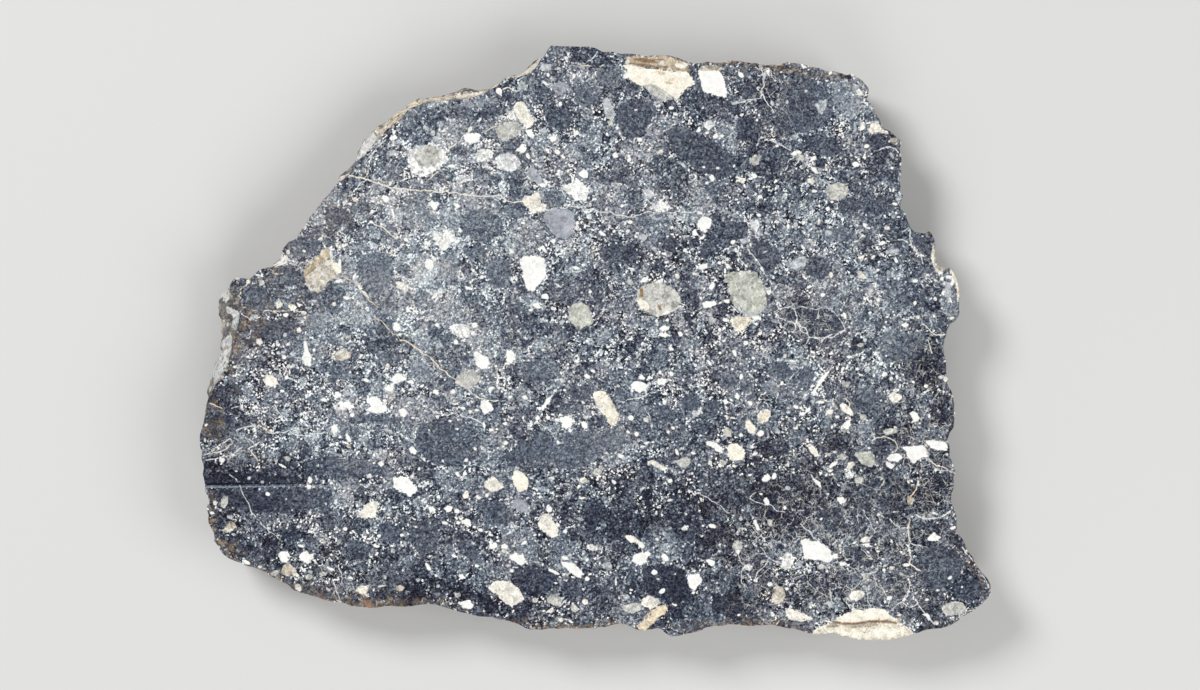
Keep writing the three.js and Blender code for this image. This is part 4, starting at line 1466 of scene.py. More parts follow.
COLOURS = {  # colour, mottling
    "W": (srgb(252, 251, 246), 0.22), "C": (srgb(243, 238, 226), 0.6), "L": (srgb(190, 195, 198), 0.9), "G": (srgb(172, 175, 183), 0.7),
    "B": (srgb(201, 200, 193), 0.85), "T": (srgb(204, 193, 174), 1.0), "O": (srgb(200, 201, 190), 0.8), "P": (srgb(208, 200, 186), 0.95),
    "S": (srgb(246, 246, 242), 0.8), "N": (srgb(104, 78, 58), 0.3), "V": (srgb(252, 246, 230), 0.35), "U": (srgb(199, 184, 160), 1.0), "Q": (srgb(150, 120, 92), 0.6), "M": (srgb(240, 231, 212), 0.6), "Y": (srgb(236, 220, 192), 0.7), "R": (srgb(156, 128, 92), 0.8),
    "X": (srgb(228, 229, 228), 0.75), "E": (srgb(198, 202, 203), 0.9),
}
# k is the saw step's painted shadow line and b its painted highlight line; the rest are vein colours.
VEIN_AND_PAINTED_STEP_LIGHT_COLOURS = {"w": srgb(218, 221, 222), "c": srgb(230, 223, 206), "o": srgb(228, 208, 176), "n": srgb(122, 92, 68), "k": srgb(20, 22, 32), "b": srgb(142, 154, 170)}


def read(text):
    return np.array([[float(v) for v in p.split(",")] for p in text.split()])


# ---- repeatable noise ----
rng = np.random.default_rng(20240717)
PERM = rng.permutation(4096)
VALUES = rng.random(4096)


def lattice(ix, iy, iz):
    h = PERM[(ix + PERM[(iy + PERM[iz & 4095]) & 4095]) & 4095]
    return VALUES[h]


def noise(x, y, z=0.0, size=10.0, octaves=1):
    """Smooth value noise, about -1 to 1."""
    x, y, z = np.broadcast_arrays(np.asarray(x, float), np.asarray(y, float), np.asarray(z, float))
    total = np.zeros(x.shape)
    weight, norm = 1.0, 0.0
    for k in range(octaves):
        s = 2.0**k / size
        fx, fy, fz = x * s + 13.7 * k, y * s + 7.1 * k, z * s + 3.3 * k
        ix, iy, iz = (np.floor(v).astype(int) for v in (fx, fy, fz))
        tx, ty, tz = fx - ix, fy - iy, fz - iz
        tx, ty, tz = (v * v * (3 - 2 * v) for v in (tx, ty, tz))
        acc = 0.0
        for dx in (0, 1):
            for dy in (0, 1):
                for dz in (0, 1):
                    acc = acc + lattice(ix + dx, iy + dy, iz + dz) * (tx if dx else 1 - tx) * (ty if dy else 1 - ty) * (tz if dz else 1 - tz)
        total += weight * (acc * 2 - 1)
        norm += weight
        weight *= 0.55
    return total / norm * 1.3


# ---- the flank's rings, as in the part's source ----
face = read(FACE_EDGE)
COUNT = len(face)


def length_to(line):
    return np.concatenate([[0], np.cumsum(np.hypot(*np.diff(line, axis=0).T))])


wide = face.copy()
for start, end, text in SWELL:
    line = read(text)
    a = int(np.argmin(np.hypot(*(face - start).T)))
    b = int(np.argmin(np.hypot(*(face - end).T)))
    if b < a:
        b += COUNT
    own = face[np.arange(a, b + 1) % COUNT]
    s, sl = length_to(own), length_to(line)
    share = s / s[-1] * sl[-1]
    wide[np.arange(a, b + 1) % COUNT] = np.stack([np.interp(share, sl, line[:, 0]), np.interp(share, sl, line[:, 1])], 1)


def smoothed(line, reach):
    s = length_to(np.vstack([line, line[:1]]))
    total = s[-1]
    s = s[:-1]
    d = np.abs(s[:, None] - s[None, :])
    d = np.minimum(d, total - d)
    g = np.exp(-0.5 * (d / reach) ** 2)
    return g @ line / g.sum(1, keepdims=True)


def inset(line, distance):
    a, b = np.roll(line, 2, 0), np.roll(line, -2, 0)
    d = b - a
    n = np.hypot(*d.T)
    return np.stack([line[:, 0] - d[:, 1] / n * distance, line[:, 1] + d[:, 0] / n * distance], 1)


turn = np.arange(COUNT) / COUNT * 2 * math.pi
soft = smoothed(wide, 14)
back_edge = inset(soft, 9 + 5 * np.sin(3 * turn + 0.8) + 2.5 * np.sin(7 * turn) + 1.2 * np.sin(13 * turn + 2))
shoulder = inset(smoothed(wide, 3), 1.5)


def hollow(t):
    return 4.2 * math.sin(math.pi * t) * np.maximum(0, np.sin(9 * turn + 1.3 + 3 * t)) * np.maximum(0, np.sin(23 * turn - 4 * t + 0.6) + 0.4) / 1.4


def ring(depth):
    t = depth / 8.0
    out = min(1, math.sin(min(t, 0.45) / 0.45 * math.pi / 2) ** 0.9) if t > 0 else 0.0
    under = 0.0 if t <= 0.45 else ((t - 0.45) / 0.55) ** 1.7
    target = 0.5 * wide + 0.5 * shoulder
    target[0] = wide[0]
    line = face + out * (target - face)
    line = line + under * (back_edge - line)
    return inset(line, hollow(t)) if 0 < t < 1 else line


# ---- resampling: the same shares of the outline on every ring ----
s_face = length_to(np.vstack([face, face[:1]]))
N = int(s_face[-1] / 2.0)
idx = np.interp(np.arange(N) / N * s_face[-1], s_face, np.arange(COUNT + 1))


def fine(line):
    closed = np.vstack([line, line[:1]])
    k = np.arange(COUNT + 1)
    return np.stack([np.interp(idx, k, closed[:, 0]), np.interp(idx, k, closed[:, 1])], 1)


def inward(line):
    a, b = np.roll(line, 1, 0), np.roll(line, -1, 0)
    d = b - a
    n = np.maximum(np.hypot(*d.T), 1e-6)
    return np.stack([-d[:, 1] / n, d[:, 0] / n], 1)


DEPTHS = [0, 0.12, 0.35, 0.7, 1.2, 1.9, 2.7, 3.6, 4.5, 5.4, 6.3, 7.2, 7.65, 8.0]
rings = []
for d in DEPTHS:
    p = fine(ring(d))
    z = d / 8.0 * THICK
    t = d / 8.0
    rough = 0.55 if d in (0, 8.0) else 0.7 + 1.3 * math.sin(math.pi * t) ** 0.5
    n1 = noise(p[:, 0], p[:, 1], z * 0.8, 7, 4)
    n2 = noise(p[:, 0] + 300, p[:, 1], z, 26, 3)
    chip = np.maximum(0, noise(p[:, 0], p[:, 1] + 500, z * 0.5, 12, 2) - 0.45) * (2.2 if d < 0.5 else 0.6)
    away = rough * (0.55 + 0.9 * n1) + (0 if d in (0, 8.0) else 1.6 * (0.4 + n2)) + chip
    p = p + inward(p) * np.clip(away, -0.15 if d == 0 else 0.0, 6)[:, None]
    rings.append(p)

lo_x, hi_x = (cad_box[0][0] / UNIT + CENTRE[0] + 0.1), (cad_box[1][0] / UNIT + CENTRE[0] - 0.1)
lo_y, hi_y = CENTRE[1] - cad_box[1][1] / UNIT + 0.1, CENTRE[1] - cad_box[0][1] / UNIT - 0.1


# ---- polygons of the map ----
def ellipse(cx, cy, rx, ry, turn_deg, k):
    """An angular grain of that size: a seeded polygon."""
    g = np.random.default_rng(k * 7919 + 11)
    n = int(g.integers(6, 9)) if max(rx, ry) < 3 else int(g.integers(8, 12))
    u = (np.arange(n) + g.uniform(-0.3, 0.3, n)) / n * 2 * math.pi
    r = g.uniform(0.86, 1.16, n)
    a = math.radians(turn_deg)
    x, y = rx * r * np.cos(u), ry * r * np.sin(u)
    return np.stack([cx + x * math.cos(a) - y * math.sin(a), cy + x * math.sin(a) + y * math.cos(a)], 1)


def polygons(text):
    made = []
    for k, row in enumerate(r for r in text.splitlines() if r.strip()):
        kind, *rest = row.split()
        made.append((kind, ellipse(*[float(v) for v in rest[0].split(",")], k) if len(rest) == 1 else read(" ".join(rest))))
    return made


def signed(points, poly):
    """Distance to a closed polygon's edge, positive inside."""
    a, b = poly, np.roll(poly, -1, 0)
    d = b - a
    px, py = points[:, 0][:, None], points[:, 1][:, None]
    t = np.clip(((px - a[:, 0]) * d[:, 0] + (py - a[:, 1]) * d[:, 1]) / np.maximum((d**2).sum(1), 1e-9), 0, 1)
    dist = np.sqrt(((px - a[:, 0] - t * d[:, 0]) ** 2 + (py - a[:, 1] - t * d[:, 1]) ** 2).min(1))
    dy = np.where(np.abs(d[:, 1]) < 1e-12, 1e-12, d[:, 1])
    hits = ((a[:, 1] > py) != (b[:, 1] > py)) & (px < (py - a[:, 1]) / dy * d[:, 0] + a[:, 0])
    return np.where(hits.sum(1) % 2 == 1, dist, -dist)


def to_line(points, line):
    a, b = line[:-1], line[1:]
    d = b - a
    px, py = points[:, 0][:, None], points[:, 1][:, None]
    t = np.clip(((px - a[:, 0]) * d[:, 0] + (py - a[:, 1]) * d[:, 1]) / np.maximum((d**2).sum(1), 1e-9), 0, 1)
    return np.sqrt(((px - a[:, 0] - t * d[:, 0]) ** 2 + (py - a[:, 1] - t * d[:, 1]) ** 2).min(1))


def walk(line, step, closed=True):
    if closed:
        line = np.vstack([line, line[:1]])
    s = length_to(line)
    n = max(4, int(round(s[-1] / step)))
    u = np.linspace(0, s[-1], n, endpoint=not closed)
    p = np.stack([np.interp(u, s, line[:, 0]), np.interp(u, s, line[:, 1])], 1)
    q = np.stack([np.interp(u + 0.3, s, line[:, 0], ), np.interp(u + 0.3, s, line[:, 1])], 1)
    d = q - p
    n = np.maximum(np.hypot(*d.T), 1e-6)
    return p, np.stack([-d[:, 1] / n, d[:, 0] / n], 1)


clasts = polygons(CLASTS)
marks = polygons(FLANK_MARKS)
fragments_and_step_shade = [(float(r.split()[0]), read(" ".join(r.split()[1:]))) for r in FRAGMENTS_AND_STEP_SHADE.splitlines() if r.strip()]


def crooked(line, seed, amount=1.0):
    """The same line with the small bends of a real crack."""
    s = length_to(line)
    u = np.linspace(0, s[-1], max(3, int(s[-1] / 1.3)))
    x, y = np.interp(u, s, line[:, 0]), np.interp(u, s, line[:, 1])
    dx, dy = np.gradient(x), np.gradient(y)
    d = np.maximum(np.hypot(dx, dy), 1e-6)
    off = amount * (1.25 * noise(x, y, seed * 17.0, 6, 2) + 0.55 * noise(x, y, seed * 31.0, 2.4, 1))
    return np.stack([x - dy / d * off, y + dx / d * off], 1)


veins_and_painted_step_light = []
for k, row in enumerate(r for r in VEINS_AND_PAINTED_STEP_LIGHT.splitlines() if r.strip()):
    width, kind, *line = row.split()
    veins_and_painted_step_light.append((float(width), kind, crooked(read(" ".join(line)), k, 0.2 if kind in "kb" else 1.0)))

# Clasts of the sawn back, which are other ones.
g = np.random.default_rng(5)
back_clasts = []
for k in range(620):
    size = 1.3 + 7.5 * g.random() ** 4
    flat = g.uniform(0.55, 1)
    kind = g.choice(list("WWWWWCCLLBTOPS"))
    back_clasts.append((kind, ellipse(g.uniform(205, 985), g.uniform(50, 636), size, size * flat, g.uniform(0, 180), 5000 + k)))
back_fragments = []
for k in range(130):
    size = g.uniform(5, 24)
    back_fragments.append((g.choice([-0.9, -0.6, -0.5, -0.3, 0.2]), ellipse(g.uniform(205, 985), g.uniform(50, 636), size, size * g.uniform(0.5, 1), g.uniform(0, 180), 9000 + k)))


# ---- plane faces: a mesh that is fine along the edges of clasts and veins, and of the saw step's painted shadow and highlight lines ----
def plane_mesh(rim, clast_list, fragment_and_shade_list, vein_and_step_light_list, extra, step):
    first = []
    for _, poly in clast_list:
        p, n = walk(poly, 2.4)
        size = math.sqrt(abs(signed(poly.mean(0)[None], poly)[0])) if len(poly) else 1
        first += [p + n * 0.6, p - n * 0.6, poly.mean(0)[None]]
    for _, _, line in vein_and_step_light_list:
        p, n = walk(line, 2.0, closed=False)
        first += [p, p + n * 1.1, p - n * 1.1]
    for _, poly in fragment_and_shade_list:
        first.append(walk(poly, 4)[0])
    first += extra
    first = np.vstack(first) if first else np.zeros((0, 2))
    cell = np.floor(first / 0.95).astype(int)
    _, keep = np.unique(cell[:, 0] * 100000 + cell[:, 1], return_index=True)
    first = first[np.sort(keep)]
    taken = np.zeros((1200, 900), bool)
    c = np.floor(first).astype(int)
    reach = max(1, int(step * 0.5))
    for dx in range(-reach, reach + 1):
        for dy in range(-reach, reach + 1):
            taken[np.clip(c[:, 0] + dx, 0, 1199), np.clip(c[:, 1] + dy, 0, 899)] = True
    gx, gy = np.meshgrid(np.arange(190, 1000, step), np.arange(36, 650, step * 0.866))
    gx = gx + (np.arange(gy.shape[0]) % 2)[:, None] * step / 2
    grid = np.stack([gx.ravel(), gy.ravel()], 1)
    grid += np.random.default_rng(3).uniform(-0.22, 0.22, grid.shape) * step
    c = np.floor(grid).astype(int)
    grid = grid[~taken[np.clip(c[:, 0], 0, 1199), np.clip(c[:, 1], 0, 899)]]
    points = np.vstack([first, grid])
    inside = np.zeros(len(points), bool)
    coarse = rim[:: max(1, len(rim) // 400)]
    box_lo, box_hi = rim.min(0), rim.max(0)
    maybe = np.where(((points > box_lo) & (points < box_hi)).all(1))[0]
    for part in np.array_split(maybe, 40):
        inside[part] = signed(points[part], rim[::1] if len(rim) < 700 else rim[::2]) > 1.5
    points = points[inside]
    verts = [Vector(p) for p in rim.tolist()] + [Vector(p) for p in points.tolist()]
    out, _, tris, orig, _, _ = delaunay_2d_cdt(verts, [], [list(range(len(rim)))], 1, 1e-6)
    out = np.array([tuple(v) for v in out])
    place = np.full(len(rim), -1)
    for k, o in enumerate(orig):
        for i in o:
            if i < len(rim):
                place[i] = k
    tris = np.array(tris)
    # only triangles inside the rim
    mid = out[tris].mean(1)
    a, b, c3 = out[tris[:, 0]], out[tris[:, 1]], out[tris[:, 2]]
    area = (b[:, 0] - a[:, 0]) * (c3[:, 1] - a[:, 1]) - (b[:, 1] - a[:, 1]) * (c3[:, 0] - a[:, 0])
    tris[area < 0] = tris[area < 0][:, ::-1]
    return out, tris, place


STEP_LINE = np.array([[186.0, 487.05], [336.0, 485.0]])
p, n = walk(STEP_LINE, 1.5, closed=False)
step_points = [p + n * 0.3, p - n * 0.3]
top, top_tris, top_rim = plane_mesh(rings[0], clasts, fragments_and_step_shade, veins_and_painted_step_light, step_points, 3.4)
back, back_tris, back_rim = plane_mesh(rings[-1], [c for c in back_clasts if abs(c[1][:, 0].ptp()) > 6], back_fragments[:60], [], [], 7.0)
assert (top_rim >= 0).all() and (back_rim >= 0).all()


def saw_step(p):
    d = 0.308 - 0.002118 * (p[:, 0] - 190) + 0.009371 * (p[:, 1] - 487)
    above = p[:, 1] < 487 - (p[:, 0] - 190) * 2 / 146
    return np.where(above, np.maximum(0, d), 0) / 0.13


# ---- one vertex list: the face, the flank's inner rings, the back ----
top_z = THICK - saw_step(top) * 0.92
relief = np.maximum(0, noise(top[:, 0], top[:, 1], 0, 16, 3)) * 0.12
top_z = top_z - relief
rim_z = top_z[top_rim]
vx, vy, vz, zone = [top[:, 0]], [top[:, 1]], [top_z], [np.zeros(len(top))]
ring_index = [top_rim]
total = len(top)
for k in range(1, len(DEPTHS) - 1):
    p = rings[k]
    z = THICK * (1 - DEPTHS[k] / 8.0) + 1.2 * noise(p[:, 0], p[:, 1], DEPTHS[k] * 9, 14, 2) * (0.15 if k in (1, len(DEPTHS) - 2) else 0.5)
    z = np.clip(np.minimum(z, rim_z - 0.35 * k), 0.3 * (len(DEPTHS) - k), THICK - 0.4 * k)
    vx.append(p[:, 0]); vy.append(p[:, 1]); vz.append(z); zone.append(np.ones(N))
    ring_index.append(total + np.arange(N))
    total += N
vx.append(back[:, 0]); vy.append(back[:, 1]); vz.append(np.zeros(len(back))); zone.append(np.full(len(back), 2.0))
ring_index.append(total + back_rim)
back_tris = back_tris + total
X, Y, Z, ZONE = (np.concatenate(v) for v in (vx, vy, vz, zone))
X = np.clip(X, lo_x, hi_x)
Y = np.clip(Y, lo_y, hi_y)
P = np.stack([X, Y], 1)
V = len(X)

# Outline units have y down, so a triangle that is anticlockwise there faces down.
tris = [top_tris[:, ::-1], back_tris]
zones = [np.zeros(len(top_tris)), np.full(len(back_tris), 2)]
columns = []
for k in range(len(ring_index) - 1):
    a, c = ring_index[k], ring_index[k + 1]
    b, d = np.roll(a, -1), np.roll(c, -1)

    def gap(u, v):
        return (X[u] - X[v]) ** 2 + (Y[u] - Y[v]) ** 2 + (Z[u] - Z[v]) ** 2

    short = gap(a, d) < gap(b, c)
    one = np.where(short[:, None], np.stack([a, d, b], 1), np.stack([a, c, b], 1))
    two = np.where(short[:, None], np.stack([a, c, d], 1), np.stack([b, c, d], 1))
    tris += [one, two]
    zones += [np.ones(N), np.ones(N)]
    columns += [np.arange(N), np.arange(N)]
T = np.vstack(tris)
TZ = np.concatenate(zones)
vol = np.einsum("ij,ij->i", np.stack([X[T[:, 0]], -Y[T[:, 0]], Z[T[:, 0]]], 1), np.cross(np.stack([X[T[:, 1]], -Y[T[:, 1]], Z[T[:, 1]]], 1), np.stack([X[T[:, 2]], -Y[T[:, 2]], Z[T[:, 2]]], 1))).sum()
print("stone vertices", V, "triangles", len(T), "volume sign", vol > 0)

mesh = bpy.data.meshes.new("meteorite_stone")
mesh.vertices.add(V)
co = np.stack([(X - CENTRE[0]) * UNIT, (CENTRE[1] - Y) * UNIT, Z * UNIT], 1)
mesh.vertices.foreach_set("co", co.astype(np.float32).ravel())
mesh.loops.add(len(T) * 3)
mesh.loops.foreach_set("vertex_index", T.astype(np.int32).ravel())
mesh.polygons.add(len(T))
mesh.polygons.foreach_set("loop_start", (np.arange(len(T)) * 3).astype(np.int32))
mesh.polygons.foreach_set("loop_total", np.full(len(T), 3, np.int32))
mesh.update(calc_edges=True)
mesh.validate()
mesh.polygons.foreach_set("use_smooth", np.ones(len(mesh.polygons), bool))
mesh.set_sharp_from_angle(angle=math.radians(38))

# ---- the map on the vertices ----
depth = np.clip(THICK - Z, 0, None)
depth[ZONE == 0] = 0
is_top, is_flank, is_back = ZONE == 0, ZONE == 1, ZONE == 2
sd = np.full(V, -6.0)
rgb = np.tile(srgb(200, 200, 196), (V, 1))
mottle = np.full(V, 0.4)
ragged = np.full(V, 0.8)
near = np.full(V, -1e9)
order = np.argsort(X)
sorted_x = X[order]


def within(poly, margin, mask):
    lo, hi = poly.min(0) - margin, poly.max(0) + margin
    i, j = np.searchsorted(sorted_x, [lo[0], hi[0]])
    who = order[i:j]
    who = who[(Y[who] >= lo[1]) & (Y[who] <= hi[1])]
    return who[mask[who]]


def paint(items, mask, fall):
    for kind, poly in items:
        who = within(poly, 6, mask)
        if not len(who):
            continue
        colour, m = COLOURS[kind]
        area = abs(0.5 * np.sum(poly[:, 0] * np.roll(poly[:, 1], -1) - poly[:, 1] * np.roll(poly[:, 0], -1)))
        size = math.sqrt(max(1.0, area))
        breadth = 2 * area / np.hypot(*(poly - np.roll(poly, -1, 0)).T).sum()
        s = signed(P[who], poly) - np.maximum(0, depth[who] - 0.4 * size) * fall
        over = (s > 0) | (s > near[who])
        take = who[over]
        near[take] = s[over]
        ragged[take] = min(1.0, max(0.3, breadth * 0.2)) * (2.0 if kind == "S" else 1.0)
        rgb[take] = colour
        mottle[take] = m
        sd[take] = np.where(s[over] > 0, s[over], np.maximum(s[over], np.where(sd[take] > 0, sd[take], -6)))


paint(clasts, is_top, 0)
paint(clasts, is_flank & (depth < 40), 0.8)
paint(marks, is_flank & (depth < 34), 0)
back_depth = depth.copy()
depth[:] = 0
paint(back_clasts, is_back, 0)
depth[:] = back_depth
sd = np.clip(sd, -6, 6)

# fragment tones, with the painted shade strip above the saw step among them
frag_and_shade_sd = np.full(V, -8.0)
frag_and_shade_tone = np.zeros(V)
frag_and_shade_near = np.full(V, -1e9)


def paint_fragments_and_step_shade(items, mask):
    for tone, poly in items:
        who = within(poly, 8, mask)
        if not len(who):
            continue
        s = signed(P[who], poly)
        over = (s > 0) | (s > frag_and_shade_near[who])
        take = who[over]
        frag_and_shade_near[take] = s[over]
        frag_and_shade_sd[take] = np.clip(s[over], -8, 8)
        frag_and_shade_tone[take] = tone


paint_fragments_and_step_shade(fragments_and_step_shade, is_top | (is_flank & (depth < 20)))
paint_fragments_and_step_shade(back_fragments, is_back)

# distance to the nearest hair vein, or to the saw step's painted shadow and highlight lines
vein_and_step_light_dist = np.full(V, 4.0)
vein_and_step_light_width = np.full(V, 0.5)
vein_and_step_light_rgb = np.tile(VEIN_AND_PAINTED_STEP_LIGHT_COLOURS["w"], (V, 1))
for width, kind, line in veins_and_painted_step_light:
    who = within(line, 4, is_top | (is_flank & (depth < 16)))
    if not len(who):
        continue
    d = to_line(P[who], line)
    over = d - width < vein_and_step_light_dist[who] - vein_and_step_light_width[who]
    take = who[over]
    vein_and_step_light_dist[take] = d[over]
    vein_and_step_light_width[take] = width * (0.5 if kind in "kb" else 0.38)
    vein_and_step_light_rgb[take] = VEIN_AND_PAINTED_STEP_LIGHT_COLOURS[kind]


def blob(cx, cy, rx, ry, turn_deg):
    a = math.radians(turn_deg)
    u = ((X - cx) * math.cos(a) + (Y - cy) * math.sin(a)) / rx
    v = (-(X - cx) * math.sin(a) + (Y - cy) * math.cos(a)) / ry
    r = np.sqrt(u * u + v * v) + 0.12 * noise(X, Y, 0, 25, 3)
    return np.clip(1.5 - r, 0, 1) ** 1.0


# tone zones; the last of them is painted shade above the saw step
zone_tone = np.zeros(V)
for row in TONE_ZONES.split("\n"):
    if row.strip():
        *shape, amount = [float(v) for v in row.split()]
        zone_tone += amount * blob(*shape) * is_top
net, rust, crust, dense, streak = (np.zeros(V) for _ in range(5))
fields = {"net": net, "rust": rust, "crust": crust, "dense": dense, "streak": streak}
for row in NET_ZONES.split("\n"):
    if row.strip():
        kind, *shape, amount = row.split()
        value = blob(*[float(v) for v in shape]) * float(amount)
        fields[kind][:] = np.maximum(fields[kind], value * (is_top | is_flank)) if float(amount) > 0 else fields[kind] + value
# the rim of the face
edge_gap = np.full(V, 12.0)
rim = rings[0]
who = np.where(is_top)[0]
for part in np.array_split(who, 60):
    close = part
    a = rim[::3]
    d2 = ((P[close][:, None, :] - a[None]) ** 2).sum(2).min(1)
    edge_gap[close] = np.minimum(np.sqrt(d2), 12)
edge_gap[is_flank] = 0


def put(name, *channels):
    if len(channels) == 1:
        att = mesh.attributes.new(name, "FLOAT", "POINT")
        att.data.foreach_set("value", np.asarray(channels[0], np.float32))
    else:
        att = mesh.attributes.new(name, "FLOAT_VECTOR", "POINT")
        att.data.foreach_set("vector", np.stack(channels, 1).astype(np.float32).ravel())


put("clast_rgb", *rgb.T)
put("clast", sd, mottle, ragged)
put("frag_and_shade", frag_and_shade_sd, frag_and_shade_tone, zone_tone)
put("vein_and_step_light", vein_and_step_light_dist, vein_and_step_light_width, np.zeros(V))
put("vein_and_step_light_rgb", *vein_and_step_light_rgb.T)
put("field_a", net, rust, crust)
put("field_b", dense, streak, edge_gap)
put("part", ZONE, np.where(is_back, 0.0, depth), np.zeros(V))

# ---- the bake's layout: the face, the back, and the flank in strips ----
uv = np.zeros((len(T), 3, 2))
k = TZ == 0
uv[k, :, 0] = 0.006 + (X[T[k]] - 195) / 800 * 0.86
uv[k, :, 1] = 0.994 - (Y[T[k]] - 40) / 605 * 0.65
k = TZ == 2
uv[k, :, 0] = 0.006 + (X[T[k]] - 205) / 780 * 0.47
uv[k, :, 1] = 0.325 - (Y[T[k]] - 50) / 590 * 0.315
cols = np.concatenate(columns)
STRIPS = 5
per = math.ceil(N / STRIPS)
f = np.where(TZ == 1)[0]
zf = Z[T[f]] / THICK
ring_of = np.full((V,), 0)
column_of = np.full(V, -1)
for r, ids in enumerate(ring_index):
    column_of[ids] = np.arange(N)
cv = column_of[T[f]]
cv = np.where((cv == 0) & (cols[:, None] == N - 1), N, cv)
strip = cols // per
uv[f, :, 0] = 0.49 + (cv - strip[:, None] * per) / per * 0.495
uv[f, :, 1] = 0.325 - strip[:, None] * 0.064 - (1 - zf) * 0.058
layer = mesh.uv_layers.new(name="OFBake")
layer.data.foreach_set("uv", uv.astype(np.float32).ravel())

stone = bpy.data.objects.new("meteorite_stone", mesh)
bpy.context.scene.collection.objects.link(stone)


# ---- material ----
material = bpy.data.materials.new("breccia")
material.use_nodes = True
tree = material.node_tree
tree.nodes.clear()


class Net:
    """Short names for shader nodes."""

    def __init__(self, tree):
        self.tree = tree

    def add(self, kind, **props):
        node = self.tree.nodes.new(kind)
        for name, value in props.items():
            setattr(node, name, value)
        return node

    def plug(self, value, socket):
        if hasattr(value, "is_output"):
            self.tree.links.new(value, socket)
        else:
            socket.default_value = value

    def math(self, op, a, b=0.0, c=None, clamp=False):
        node = self.add("ShaderNodeMath", operation=op, use_clamp=clamp)
        self.plug(a, node.inputs[0])
        self.plug(b, node.inputs[1])
        if c is not None:
            self.plug(c, node.inputs[2])
        return node.outputs[0]

    def mul(self, a, b):
        return self.math("MULTIPLY", a, b)

    def plus(self, a, b):
        return self.math("ADD", a, b)

    def minus(self, a, b):
        return self.math("SUBTRACT", a, b)

    def fit(self, x, a, b, c=0.0, d=1.0, smooth=True):
        node = self.add("ShaderNodeMapRange", interpolation_type="SMOOTHSTEP" if smooth else "LINEAR")
        node.clamp = True
        for value, name in ((x, "Value"), (a, "From Min"), (b, "From Max"), (c, "To Min"), (d, "To Max")):
            self.plug(value, node.inputs[name])
        return node.outputs["Result"]

    def mix(self, amount, a, b, blend="MIX"):
        node = self.add("ShaderNodeMix", data_type="RGBA", blend_type=blend)
        self.plug(amount, node.inputs[0])
        for value, k in ((a, 6), (b, 7)):
            if isinstance(value, (tuple, list, np.ndarray)):
                value = tuple(float(v) for v in value[:3]) + (1.0,)
            self.plug(value, node.inputs[k])
        return node.outputs[2]

    def lerp(self, amount, a, b):
        node = self.add("ShaderNodeMix", data_type="FLOAT")
        self.plug(amount, node.inputs[0])
        self.plug(a, node.inputs[2])
        self.plug(b, node.inputs[3])
        return node.outputs[0]

    def vec(self, op, a, b=None, scale=None):
        node = self.add("ShaderNodeVectorMath", operation=op)
        self.plug(a, node.inputs[0])
        if b is not None:
            self.plug(b, node.inputs[1])
        if scale is not None:
            self.plug(scale, node.inputs["Scale"])
        return node.outputs[0]

    def noise(self, at, size, detail=2.0, rough=0.5, shift=0.0, colour=False):
        node = self.add("ShaderNodeTexNoise")
        if shift:
            at = self.vec("ADD", at, (shift, shift * 1.7, shift * 0.6))
        self.plug(at, node.inputs["Vector"])
        node.inputs["Scale"].default_value = 1.0 / size
        node.inputs["Detail"].default_value = detail
        node.inputs["Roughness"].default_value = rough
        return node.outputs["Color"] if colour else node.outputs["Fac"]

    def cells(self, at, size, feature="F1", shift=0.0, randomness=1.0):
        node = self.add("ShaderNodeTexVoronoi", feature=feature)
        if shift:
            at = self.vec("ADD", at, (shift, shift * 1.3, shift * 0.7))
        self.plug(at, node.inputs["Vector"])
        node.inputs["Scale"].default_value = 1.0 / size
        node.inputs["Randomness"].default_value = randomness
        return node

    def split(self, value):
        node = self.add("ShaderNodeSeparateXYZ")
        self.plug(value, node.inputs[0])
        return node.outputs

    def attribute(self, name):
        return self.add("ShaderNodeAttribute", attribute_name=name).outputs["Vector"]


n = Net(tree)
here = n.add("ShaderNodeTexCoord").outputs["Object"]
at = n.vec("SCALE", here, scale=1 / UNIT)  # in outline units
fine_warp = n.vec("SCALE", n.vec("SUBTRACT", n.noise(at, 4.0, 2.0, 0.6, 11, True), (0.5, 0.5, 0.5)), scale=2.6)
wide_warp = n.vec("SCALE", n.vec("SUBTRACT", n.noise(at, 14.0, 2.0, 0.55, 31, True), (0.5, 0.5, 0.5)), scale=9.0)
warped = n.vec("ADD", at, fine_warp)
warped_wide = n.vec("ADD", warped, wide_warp)

clast_sd, clast_mottle, clast_ragged = n.split(n.attribute("clast"))
clast_rgb = n.attribute("clast_rgb")
frag_and_shade_sd_, frag_and_shade_tone_, zone_tone_ = n.split(n.attribute("frag_and_shade"))
vein_and_step_light_dist_, vein_and_step_light_width_, _ = n.split(n.attribute("vein_and_step_light"))
vein_and_step_light_rgb_ = n.attribute("vein_and_step_light_rgb")
net_, rust_, crust_ = n.split(n.attribute("field_a"))
dense_, streak_, edge_ = n.split(n.attribute("field_b"))
zone_, depth_, _ = n.split(n.attribute("part"))

n70 = n.noise(at, 70, 3, 0.55, 3)
n20 = n.noise(at, 20, 4, 0.62, 5)
n6 = n.noise(at, 6, 4, 0.65, 7)
n2 = n.noise(at, 1.3, 1.0, 0.7, 9)
n9 = n.noise(at, 8.5, 3, 0.66, 81)
n4 = n.noise(at, 4.2, 3, 0.68, 83)
n3 = n.noise(at, 2.7, 2, 0.7, 101)
n13 = n.noise(at, 13, 3, 0.62, 51)

# tone of the ground: 0 black-blue, 1 white
base = n.plus(n.fit(zone_tone_, 0.1, 0.8, 0.342, 0.372), n.mul(n.minus(n20, 0.5), 0.48))
base = n.plus(base, n.mul(n.minus(n70, 0.5), 0.35))
base = n.plus(base, n.mul(zone_tone_, 0.3))

